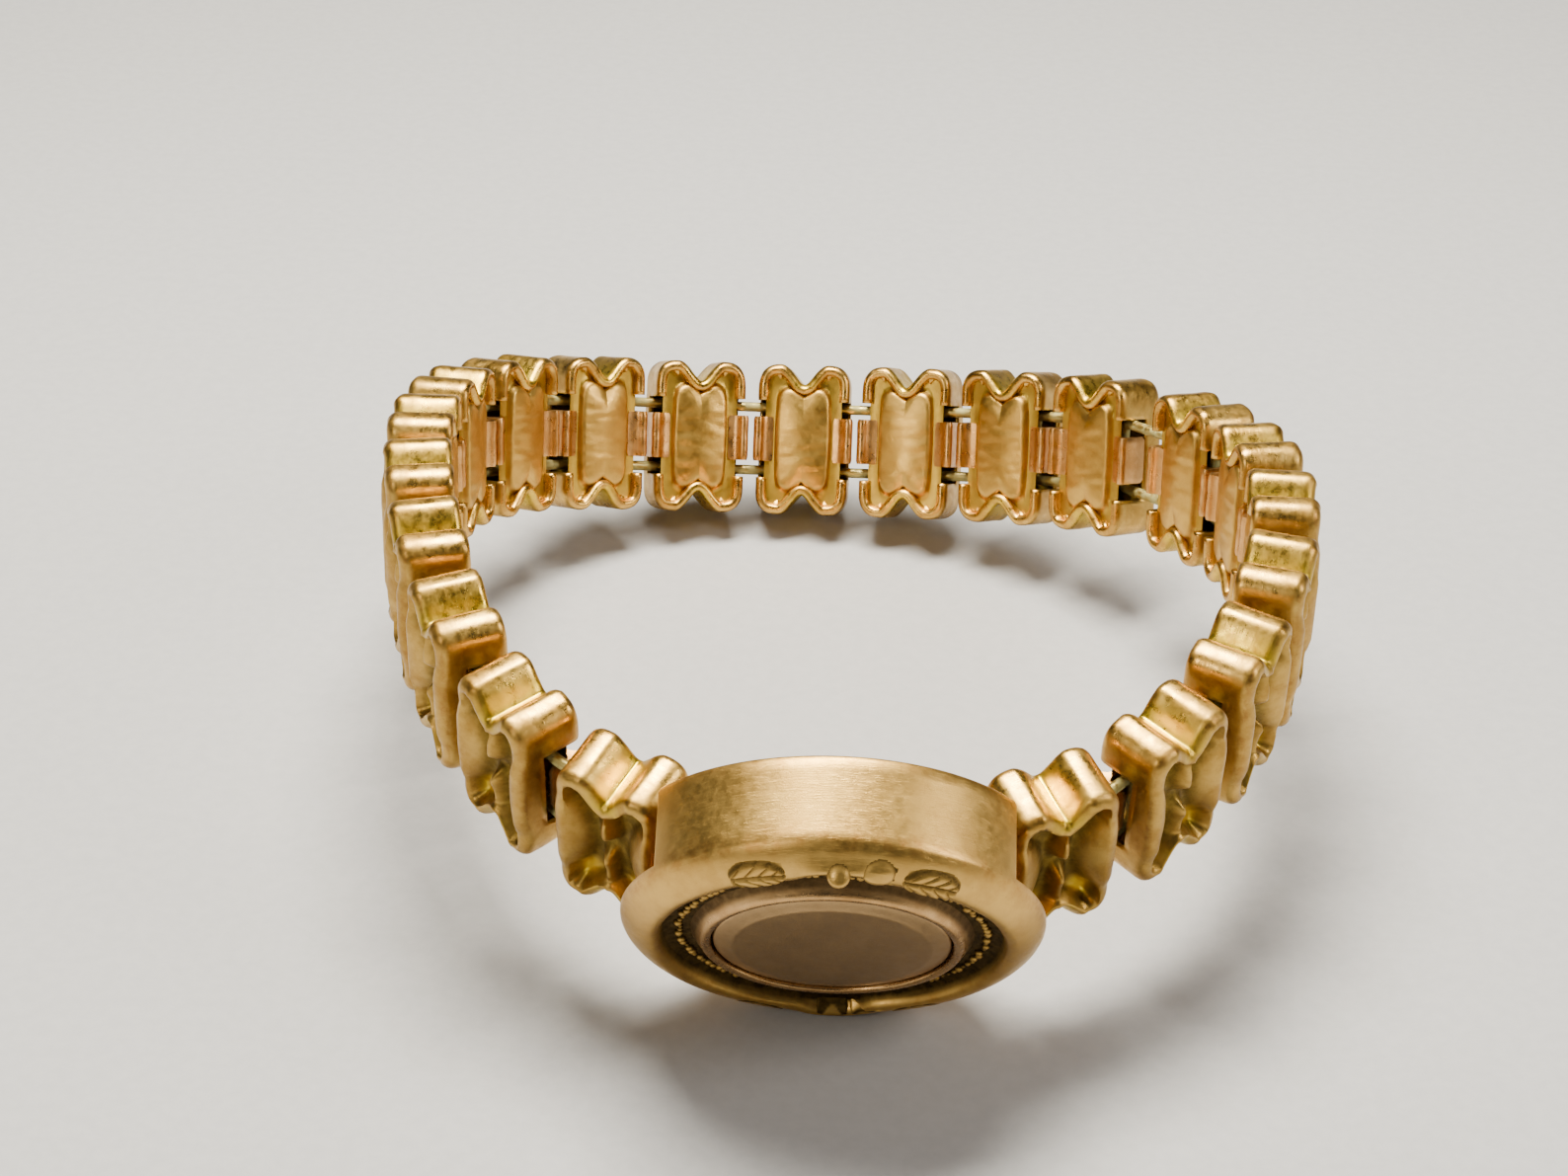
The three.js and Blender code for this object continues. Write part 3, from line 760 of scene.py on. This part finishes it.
def shell_attributes():
    """Grime with painted shade, painted highlights, and wear of the shell's points."""
    base, _ = SHELL
    t, r, h = base.T
    flat = base[:, [0, 2]]
    on_front = r > DEPTH - RELIEF - 0.05
    edge = distance_to_outline(flat)
    _, depth = front_height(flat)
    # painted shade with grime: darker the deeper the pressed ground lies, and on the side walls next to
    # the neighbouring links
    recess = np.where(on_front, 0.34 + smoothstep(0.25, 0.85, depth) * 0.52, 0.0)
    recess = np.where((~on_front) & (np.abs(t) > 2.8), 0.25, recess)
    # painted highlight in the valleys between the humps, a little on all the deeper ground, and most on
    # the lower lobes, which face up and so are painted brighter and less shaded
    valley_wall = np.exp(-(t / 0.8) ** 2) * smoothstep(3.0, 3.4, np.abs(h))
    lit_lobe = smoothstep(0.45, 0.95, depth) * smoothstep(0.5, 1.3, np.abs(t)) * smoothstep(-1.8, -2.6, h)
    recess = np.where(on_front, recess * (1 - 0.75 * lit_lobe), recess)
    front_painted_highlight = np.maximum(lit_lobe, 0.35 * smoothstep(0.4, 0.9, depth))
    valley = np.maximum(valley_wall, np.where(on_front, front_painted_highlight, 0))
    rim = smoothstep(0.5, 0.15, r)
    corner = np.where(on_front & (r > DEPTH - 0.6), smoothstep(0.35, 0.05, edge), 0)
    return recess, valley, np.maximum(rim * 0.8, corner)


SHELL_SHADE_AND_DIRT, SHELL_PAINTED_HIGHLIGHT, SHELL_WORN = shell_attributes()


def give_thickness(obj, radial):
    """Turns the shell into sheet metal, thick at the wall and rim and thin behind the front."""
    wall = obj.vertex_groups.new(name="wall")
    below_front = np.flatnonzero(radial < DEPTH - RELIEF - 0.3)
    wall.add([int(i) for i in below_front], 1.0, "REPLACE")
    skin = obj.modifiers.new("sheet", "SOLIDIFY")
    skin.thickness = SHEET * MM
    skin.offset = -1.0
    skin.vertex_group = "wall"
    skin.thickness_vertex_group = FRONT_SHEET_SHARE


def build_shell(number, place):
    base, faces = SHELL
    points = inside_box(dented(base, number, 0.035))
    obj = mesh_object(f"link_shell_{number:02d}", points, faces, sharp=70)
    # painted shade with grime, and painted highlights, for the shell
    set_attribute(obj, "recess", SHELL_SHADE_AND_DIRT)
    set_attribute(obj, "valley", SHELL_PAINTED_HIGHLIGHT)
    set_attribute(obj, "edge", SHELL_WORN)
    set_attribute(obj, "seed", np.full(len(points), number))
    give_thickness(obj, base[:, 1])
    return finish_link_piece(obj, shell_gold, number, place)


def build_plate(number, place):
    """Back plate, with wrinkles on its pillow that differ from link to link."""
    base, faces = PLATE
    points = base.copy()
    raised = smoothstep(0.35, 0.2, points[:, 1])
    shift = Vector((number * 3.7, 1.9, number))
    for i, p in enumerate(base):
        wrinkle = noise.noise(Vector((p[0] * 0.9, 0, p[2] * 2.2)) + shift)
        points[i, 1] += 0.035 * wrinkle * raised[i]
    points[:, 1] = np.clip(points[:, 1], 0.02, 1.0)
    obj = mesh_object(f"link_plate_{number:02d}", points, faces)
    flank = smoothstep(0.2, 0.3, base[:, 1]) * smoothstep(0.6, 0.5, base[:, 1])
    channel = smoothstep(0.5, 0.6, base[:, 1])
    # painted shadow on the pillow's flanks; the channel floor is darkened and also mixed with the
    # highlight gold
    set_attribute(obj, "recess", 0.3 * channel + 0.35 * flank)
    set_attribute(obj, "valley", channel)
    set_attribute(obj, "edge", 0.4 * flank)
    set_attribute(obj, "seed", np.full(len(points), number + 40))
    return finish_link_piece(obj, plate_gold, number, place)


def build_tabs(number, place):
    """The folded tabs at both sides of a link."""
    base, faces = TAB
    count = len(base)
    mirrored = base * np.array([-1, 1, 1])
    points = np.concatenate([base, mirrored])
    every = list(faces) + [tuple(count + i for i in reversed(f)) for f in faces]
    obj = mesh_object(f"link_tabs_{number:02d}", dented(points, number + 11, 0.02), every, sharp=50)
    # painted shade with grime: darker towards the front, where the tab lies inside the link's side
    # opening
    set_attribute(obj, "recess", 0.5 * smoothstep(0.5, 1.6, points[:, 1]))
    set_attribute(obj, "valley", np.zeros(len(points)))
    set_attribute(obj, "edge", smoothstep(0.4, 0.05, points[:, 1]) * 0.7)
    set_attribute(obj, "seed", np.full(len(points), number + 80))
    return finish_link_piece(obj, tab_gold, number, place)


for number, place in link_frames.items():
    build_shell(number, place)
    build_plate(number, place)
    build_tabs(number, place)


# ---- Wire hooks ----

def hook_place(k):
    """Frame of the body that hook k slides in, x from its parent body towards it."""
    if k <= LINKS:
        return link_frames[k]
    slide = -Vector(joint(f"expand_{k:02d}")["axis"])
    up = -Vector(joint(f"flex_{k:02d}")["axis"])
    pivot = Vector(joint(f"flex_{k:02d}")["pos_m"])
    out = up.cross(slide)
    return placed(slide, out, up, pivot - out * WIRE_R * MM)


def build_hook(k):
    """Crossbar, two legs and two feet of the wire at joint k."""
    place = hook_place(k)
    cross = place.inverted() @ Vector(joint(f"flex_{k:02d}")["pos_m"]) / MM
    last = k > LINKS
    near = -PITCH / 2 if not last else cross.x + PIVOT_INSET
    far = near + FOOT_FAR - (OPEN_GAP if k == OPEN_JOINT else 0) - WIRE_RADIUS
    half = []
    for side in (1, -1):
        h = cross.z + side * LEG_H
        half.append([
            (far, WIRE_R, cross.z + side * (FOOT_TIP - WIRE_RADIUS)),
            (far, WIRE_R, h),
            (near + ENTRY, WIRE_R, h),
            (cross.x, cross.y, h),
        ])
    corners = half[0] + half[1][::-1]
    points, faces = tube(rounded_path(corners, WIRE_BEND, 6), WIRE_RADIUS, 12)
    obj = mesh_object(f"wire_hook_{k:02d}", points, faces, sharp=60)
    set_attribute(obj, "seed", np.full(len(points), k))
    return finish_piece(obj, wire_brass, f"hook_{k:02d}", place, [f"link_hook_{k:02d}"])


for k in range(1, LINKS + 2):
    build_hook(k)


# ---- Medallion, in mm: radius about its axis, depth out of its back ----

CASE_RADIUS = 10.4
FACE = 5.7              # the disc's flat
TROUGH = FACE - 0.86    # floor of the dark recess
BORDER_INNER = 8.5      # inner edge of the border
NEST_HALF_WIDTH = 6.6   # flat sides where the end links nest
NEST_HALF_HEIGHT = 5.9
NEST_DEPTH = 4.1
INSIDE_HALF_WIDTH = 6.2 # hollow of the case
INSIDE_HALF_HEIGHT = 3.5
INSIDE_DEPTH = 3.2
WINDOW_HALF_HEIGHT = 0.85   # openings for the legs of the end hooks
WINDOW_TOP = 2.7
PAST_CASE = 12.0        # where a cut from the side ends
CUT_BEVEL = 0.12
COVER_HALF_WIDTH = 5.4
COVER_DEPTH = 0.35
ROUND = 256             # steps of a turned body


def lathe(profile, steps=ROUND, wander=None):
    """Turned body about the medallion's axis; profile runs from axis to axis as (radius, depth)."""
    rows = []
    for radius, y in profile:
        row = []
        for s in range(steps):
            angle = 2 * math.pi * s / steps
            r = radius + (wander(angle, radius, y) if wander else 0.0)
            row.append((r * math.cos(angle), y, r * math.sin(angle)))
        rows.append(row)
    points, faces = loft(rows)
    kept, faces = merge_close(points, faces)
    return [points[k] for k in kept], faces


def between(u, p, q, r, v):
    """Catmull-Rom value at a share u of the way from q to r."""
    square = (2 * p - 5 * q + 4 * r - v) * u ** 2
    cube = (3 * q - p - 3 * r + v) * u ** 3
    return 0.5 * (2 * q + (r - p) * u + square + cube)


def curve(points, steps=6):
    """Smooth profile through given points."""
    out = []
    ends = [points[0]] + list(points) + [points[-1]]
    for a, b, c, d in zip(ends, ends[1:], ends[2:], ends[3:]):
        for s in range(steps):
            out.append(tuple(between(s / steps, *four) for four in zip(a, b, c, d)))
    out.append(points[-1])
    return out


def box_cutter(name, low, high):
    """A box between two corners, to be subtracted."""
    points = list(itertools.product(*zip(low, high)))
    faces = [(0, 1, 3, 2), (4, 6, 7, 5), (0, 4, 5, 1), (2, 3, 7, 6), (0, 2, 6, 4), (1, 5, 7, 3)]
    return mesh_object(name, points, faces)


def cut_away(obj, cutters):
    """Subtracts boxes, and keeps only the finished mesh."""
    for cutter in cutters:
        step = obj.modifiers.new(cutter.name, "BOOLEAN")
        step.operation = "DIFFERENCE"
        step.solver = "EXACT"
        step.object = cutter
    bevel = obj.modifiers.new("edge", "BEVEL")
    bevel.width = CUT_BEVEL * MM
    bevel.segments = 2
    bevel.limit_method = "ANGLE"
    bevel.angle_limit = math.radians(50)
    bpy.context.view_layer.update()
    done = bpy.data.meshes.new_from_object(obj.evaluated_get(bpy.context.evaluated_depsgraph_get()))
    obj.modifiers.clear()
    obj.data = done
    for cutter in cutters:
        bpy.data.objects.remove(cutter)


def case_attributes(obj):
    """Wear, and grime with painted shade, from where each point lies on the case."""
    co = np.array([v.co for v in obj.data.vertices], float) / MM
    x, depth, z = co.T
    radius = np.hypot(x, z)
    front = smoothstep(3.7, 4.1, depth)
    straight = straightened(radius, np.arctan2(z, x))
    # painted shade with grime on the recess floor, left off the lit wall of the border above it
    trough = front * smoothstep(BORDER_INNER, 8.3, straight)
    trough = trough * smoothstep(TROUGH + 0.75, TROUGH + 0.3, depth)
    outer_edge = np.exp(-((radius - CASE_RADIUS) / 0.3) ** 2) * 0.8
    inner_edge = np.exp(-((straight - BORDER_INNER) / 0.2) ** 2) * 0.7
    back_edge = smoothstep(0.8, 0.1, depth) * smoothstep(9.5, 10.2, radius) * 0.6
    # painted shade inside the case's hollow
    hollow = (np.abs(x) < 7.2) & (depth < 3.5) & (radius < 10)
    set_attribute(obj, "recess", np.maximum(trough, 0.3 * hollow))
    set_attribute(obj, "valley", np.zeros(len(co)))
    set_attribute(obj, "edge", np.maximum(front * (outer_edge + inner_edge), back_edge))
    set_attribute(obj, "seed", np.full(len(co), 3.0))


BORDER_DROPS = (
    (CASE_RADIUS, 1.5), (10.34, 1.25), (10.1, 0.85), (9.65, 0.42),
    (9.15, 0.12), (8.8, 0.04), (8.52, 0.15), (8.36, 0.48),
)
BORDER = [(radius, FACE - drop) for radius, drop in BORDER_DROPS]
ORNAMENT_SIDES = (1, -1)    # the stamped group stands at the top and the bottom of the border
POCKET_MIDDLE = 91.0        # degrees; the trough reaches out behind the bosses
POCKET_HALF = 11.0          # degrees
POCKET_DEPTH = 0.6
POCKET_END = 10.0           # radius past which the border is untouched


def pocket(angle):
    """How far the border's inner edge gives way at an angle, from 0 to 1."""
    share = 0.0
    for side in ORNAMENT_SIDES:
        off = np.angle(np.exp(1j * (angle - side * math.radians(POCKET_MIDDLE))), deg=True)
        share = share + np.exp(-(off / POCKET_HALF) ** 4)
    return share


def pocket_fade(radius):
    """Share of the pocket's depth at a radius."""
    return smoothstep(POCKET_END, BORDER_INNER, radius)


def straightened(radius, angle):
    """Radius at which a point of the border would lie without the pockets."""
    return radius - POCKET_DEPTH * pocket(angle) * pocket_fade(radius)


def scallop(angle, radius, y):
    """The border's inner edge steps outwards behind the bosses, and ripples slightly all round."""
    if y < TROUGH or radius > POCKET_END or radius < 7.95:
        return 0.0
    ripple = 0.03 * math.sin(angle * 11) * math.sin(angle * 4 + 1)
    return (POCKET_DEPTH * float(pocket(angle)) + ripple) * float(pocket_fade(radius))


def border_depth(radius, angle):
    """Depth of the border's surface at a radius and an angle."""
    points = sorted(BORDER + [(8.2, TROUGH + 0.1), (7.9, TROUGH)])
    radii, depths = zip(*points)
    return float(np.interp(straightened(radius, angle), radii, depths))


def case_cutters():
    """The nests of the end links, the windows for the hooks' legs, and the hollow inside."""
    cutters = []
    for side in (-1, 1):
        low, high = sorted((side * NEST_HALF_WIDTH, side * PAST_CASE))
        nest_low = (low, -1, -NEST_HALF_HEIGHT)
        nest_high = (high, NEST_DEPTH, NEST_HALF_HEIGHT)
        cutters.append(box_cutter(f"nest_{side}", nest_low, nest_high))
        for level in (-1, 1):
            low, high = sorted((side * 6.0, side * 7.1))
            middle = level * LEG_H
            window_low = (low, -0.5, middle - WINDOW_HALF_HEIGHT)
            window_high = (high, WINDOW_TOP, middle + WINDOW_HALF_HEIGHT)
            cutters.append(box_cutter(f"window_{side}_{level}", window_low, window_high))
    inside_low = (-INSIDE_HALF_WIDTH, -1, -INSIDE_HALF_HEIGHT)
    inside_high = (INSIDE_HALF_WIDTH, INSIDE_DEPTH, INSIDE_HALF_HEIGHT)
    cutters.append(box_cutter("inside", inside_low, inside_high))
    return cutters


def build_case():
    """Case with its domed border and dark recess."""
    edge = curve([(10.05, 0.0), (10.3, 0.08), (CASE_RADIUS, 0.32)], 4)
    wall = [(CASE_RADIUS, y) for y in (0.8, 1.6, 2.4, 3.2, 3.9)]
    recess = curve([(8.25, TROUGH + 0.16), (7.9, TROUGH + 0.02), (7.2, TROUGH), (6.5, TROUGH)], 4)
    profile = [(0, 0)] + edge + wall + curve(BORDER, 6) + recess + [(0, TROUGH)]
    points, faces = lathe(profile, wander=scallop)
    obj = mesh_object("medallion_body", points, faces)
    cut_away(obj, case_cutters())
    obj.data.shade_smooth()
    obj.data.set_sharp_from_angle(angle=math.radians(35))
    case_attributes(obj)
    finish_piece(obj, case_gold, "medallion", medallion, ["medallion_case"])


def plain_attributes(obj, seed, recess=0.0, valley=0.0, edge=0.0):
    """Attributes given as one number for the piece or as one number for each point."""
    count = len(obj.data.vertices)
    for name, value in (("recess", recess), ("valley", valley), ("edge", edge)):
        set_attribute(obj, name, np.full(count, value) if np.ndim(value) == 0 else value)
    set_attribute(obj, "seed", np.full(count, float(seed)))


def vertex_place(obj):
    """Radius and depth of each point, in mm."""
    co = np.array([v.co for v in obj.data.vertices], float) / MM
    return np.hypot(co[:, 0], co[:, 2]), co[:, 1]


def build_bezel():
    """Ring that falls away outwards into the dark recess; profile in drops from the face."""
    drops = (
        (6.95, 0.9), (6.8, 0.7), (6.58, 0.4), (6.4, 0.15),
        (6.22, 0.05), (6.02, 0.08), (5.93, 0.22), (5.92, 0.6),
    )
    profile = curve([(radius, FACE - drop) for radius, drop in drops], 5)
    points, faces = lathe(profile)
    obj = mesh_object("bezel", points, faces, sharp=60)
    _, depth = vertex_place(obj)
    # painted shade with grime: darker as the ring falls into the recess
    plain_attributes(obj, 5, recess=smoothstep(FACE - 0.22, FACE - 0.6, depth) * 0.97,
                     edge=smoothstep(FACE - 0.2, FACE - 0.06, depth) * 0.4)
    finish_piece(obj, bezel_gold, "medallion", medallion, ["bezel_ring"])


def build_disc():
    """Flat disc with a bevel; profile in drops from the face."""
    drops = (
        (5.8, 0.6), (5.82, 0.36), (5.79, 0.29), (5.7, 0.25), (5.25, 0.13),
        (4.95, 0.05), (4.87, 0.02), (4.75, 0.01), (2.4, 0.005), (0, 0.005),
    )
    points, faces = lathe([(0, FACE - 0.6)] + [(radius, FACE - drop) for radius, drop in drops])
    obj = mesh_object("signet", points, faces, sharp=60)
    radius, depth = vertex_place(obj)
    # painted shade with grime down its side into the recess; painted highlight on the bevel
    plain_attributes(obj, 6, recess=smoothstep(FACE - 0.3, FACE - 0.4, depth),
                     valley=smoothstep(4.82, 4.95, radius))
    finish_piece(obj, disc_gold, "medallion", medallion, ["signet_disc"])


def build_cover():
    """Back cover, with flat sides at the end links."""
    rim = [(8.7, 0.02), (8.95, 0.05), (9.05, 0.15), (9.08, COVER_DEPTH)]
    points, faces = lathe([(0, 0.02)] + rim + [(0, COVER_DEPTH)])
    obj = mesh_object("back_cover", points, faces)
    cutters = []
    for side in (-1, 1):
        low, high = sorted((side * COVER_HALF_WIDTH, side * PAST_CASE))
        cutters.append(box_cutter(f"cover_{side}", (low, -1, -6.0), (high, 1, 6.0)))
    cut_away(obj, cutters)
    plain_attributes(obj, 8)
    finish_piece(obj, cover_gold, "medallion", medallion, ["medallion_back_cover"])


def bead_ring():
    """Milgrain circle round the recess."""
    beads = 112
    radius, depth, size = 7.5, TROUGH + 0.02, 0.22
    points, faces = [], []
    rng = random.Random(4)
    for b in range(beads):
        angle = 2 * math.pi * b / beads
        grow = size * rng.uniform(0.6, 1.15)
        track = radius + rng.uniform(-0.09, 0.09)
        angle += rng.uniform(-0.006, 0.006)
        base = len(points)
        for ring in range(5):
            lift = 0.5 * math.pi * ring / 4
            for s in range(8):
                turn = 2 * math.pi * s / 8
                away = track + grow * math.cos(lift) * math.cos(turn)
                swing = angle + grow * math.cos(lift) * math.sin(turn) / track
                y = depth + grow * math.sin(lift)
                points.append((away * math.cos(swing), y, away * math.sin(swing)))
        for ring in range(4):
            for s in range(8):
                a = base + ring * 8 + s
                c = base + ring * 8 + (s + 1) % 8
                faces.append((a, c, c + 8, a + 8))
    kept, faces = merge_close(points, faces)
    obj = mesh_object("bead_ring", [points[k] for k in kept], faces, sharp=60)
    _, y = vertex_place(obj)
    # painted shade with grime: darker towards the beads' feet and all over in the recess
    plain_attributes(obj, 9, recess=0.3 + 0.7 * smoothstep(depth + size * 0.85, depth + 0.06, y))
    finish_piece(obj, case_gold, "medallion", medallion, ["medallion_case"])


def stamped_leaf(u, v):
    """Height, and painted shade with grime in the veins and round the edge, of a small veined leaf, u
    along it from -1 to 1.
    """
    half = 0.86 * max(0.0, 1 - abs(u) ** 2.2) ** 0.7
    inside = float(smoothstep(half + 0.12, half - 0.12, abs(v)))
    centre = math.exp(-(v / 0.11) ** 2)
    side = abs(math.sin(math.pi * (2.2 * u - 1.6 * abs(v))))
    vein = max(centre, math.exp(-(side / 0.28) ** 2) * (abs(v) > 0.1))
    dark = max(0.85 * vein * inside, math.exp(-((abs(v) - half) / 0.14) ** 2) * (abs(u) < 1.0))
    return inside * (0.2 - 0.15 * vein), dark


def stamped_dome(u, v):
    """A smooth boss in a ring of painted shade with grime."""
    away = math.hypot(u, v)
    height = 0.3 * math.sqrt(max(0.0, 1 - (away / 0.8) ** 2))
    return height, math.exp(-((away - 0.86) / 0.14) ** 2)


def stamped_bead(u, v):
    """A round bead standing in a pit of painted shade with grime."""
    away = math.hypot(u, v)
    height = 0.62 * math.sqrt(max(0.0, 1 - (away / 0.66) ** 2))
    return height, float(smoothstep(0.56, 0.68, away))


def relief_patch(name, shape, middle, radius, length, width, seed, turn, strength):
    """Small stamped ornament that follows the border; it sinks into it outside its own shape."""
    across, along = 26, 40
    rows, crease_shade_and_grime = [], []
    swing, tip = math.cos(turn), math.sin(turn)
    for i in range(across + 1):
        row = []
        for j in range(along + 1):
            u, v = 2 * j / along - 1, 2 * i / across - 1
            height, dark = shape(u, v)
            x, y = u * length / 2, v * width / 2
            r = radius + y * swing + x * tip
            angle = middle + (x * swing - y * tip) / radius
            edge = max(abs(u), abs(v))
            sunk = 0.25 * float(smoothstep(0.86, 1.0, edge))
            depth = border_depth(r, angle) + 0.015 + height * strength - sunk
            row.append((r * math.cos(angle), depth, r * math.sin(angle)))
            crease_shade_and_grime.append(dark)
        rows.append(row)
    points, faces = loft(rows, closed=False)
    obj = mesh_object(name, points, faces, sharp=60)
    # painted shade with grime in the ornaments' veins, rings and pits
    plain_attributes(obj, seed, recess=np.array(crease_shade_and_grime) * 0.95)
    finish_piece(obj, case_gold, "medallion", medallion, ["medallion_case"])


def build_ornaments():
    """Leaf, bead, dome and leaf at the top of the border, and fainter at the bottom."""
    # name, shape, degrees round the border, radius, length, width, turn
    group = (
        ("leaf_a", stamped_leaf, 67, 9.3, 3.0, 1.45, -0.05),
        ("boss_a", stamped_bead, 91, 9.3, 1.7, 1.3, 0.0),
        ("boss_b", stamped_dome, 102.5, 9.4, 1.9, 1.4, 0.0),
        ("leaf_b", stamped_leaf, 119, 9.3, 3.1, 1.5, 0.05),
    )
    for side in ORNAMENT_SIDES:
        level, strength = ("top", 1.0) if side > 0 else ("bottom", 0.1)
        for seed, (name, shape, degrees, *sizes, turn) in enumerate(group, start=30):
            middle = side * math.radians(degrees)
            relief_patch(f"{name}_{level}", shape, middle, *sizes, seed, turn, strength)


build_case()
build_bezel()
build_disc()
build_cover()
bead_ring()
build_ornaments()

for name in ("left_lug", "right_lug"):
    lug = frame["nodes"][name]
    plain_attributes(lug, 20)
    keep_spots(lug, [medallion.inverted() @ v.co for v in lug.data.vertices])
    lug.data.materials.clear()
    lug.data.materials.append(lug_brass)


# ---- Studio ----

def build_floor():
    """Paper that lies flat, bends up behind the object and rises, in mm."""
    size, rise = 900.0, 500.0
    bend_start, bend_radius = 260.0, 200.0
    steps = 14
    rows = []
    for s in range(steps + 1):
        u = s / steps
        if u < 0.4:
            y = -size + (size + bend_start) * u / 0.4
            z = 0.0
        else:
            angle = 0.5 * math.pi * min(1.0, (u - 0.4) / 0.4)
            y = bend_start + bend_radius * math.sin(angle)
            z = bend_radius * (1 - math.cos(angle)) + rise * max(0.0, (u - 0.8) / 0.2)
        rows.append([(-size, y, z), (0, y, z), (size, y, z)])
    points, faces = loft(rows, closed=False)
    floor = mesh_object("floor", points, [tuple(reversed(f)) for f in faces], sharp=80)
    floor.data.materials.append(studio_paper("floor_paper"))


def soft_light(name, place, target, size, energy, tint):
    """Rectangular lamp at a place in mm, turned towards its target."""
    lamp = bpy.data.lights.new(name, "AREA")
    lamp.shape = "RECTANGLE"
    lamp.size, lamp.size_y = [s * MM for s in size]
    lamp.energy = energy
    lamp.color = tint
    obj = bpy.data.objects.new(name, lamp)
    obj.location = Vector(place) * MM
    obj.rotation_euler = (Vector(target) - Vector(place)).to_track_quat("-Z", "Y").to_euler()
    bpy.context.scene.collection.objects.link(obj)


def build_camera():
    data = bpy.data.cameras.new("camera")
    data.lens = CAMERA_LENS
    data.sensor_width = 36.0
    data.clip_start = 0.01
    data.clip_end = 10.0
    obj = bpy.data.objects.new("camera", data)
    turn = Matrix.Rotation(math.radians(CAMERA_TURN), 4, "Z")
    tilt = Matrix.Rotation(math.radians(90 - CAMERA_TILT), 4, "X")
    roll = Matrix.Rotation(math.radians(CAMERA_ROLL), 4, "Z")
    obj.matrix_world = Matrix.Translation(Vector(CAMERA_PLACE) * MM) @ turn @ tilt @ roll
    bpy.context.scene.collection.objects.link(obj)
    bpy.context.scene.camera = obj


def build_world():
    world = bpy.data.worlds.new("studio")
    world.use_nodes = True
    background = world.node_tree.nodes["Background"]
    background.inputs["Color"].default_value = (0.42, 0.42, 0.45, 1)
    background.inputs["Strength"].default_value = 0.2
    bpy.context.scene.world = world


build_floor()
build_camera()
soft_light("overhead", (-20, 45, 230), (0, 0, 0), (150, 90), 2.1, (1.0, 0.94, 0.80))
soft_light("front_left", (-170, -220, 170), (0, 0, 5), (70, 110), 0.25, (1.0, 0.93, 0.79))
soft_light("right_rim", (220, -60, 150), (0, 0, 5), (50, 120), 0.35, (1.0, 0.95, 0.88))
build_world()
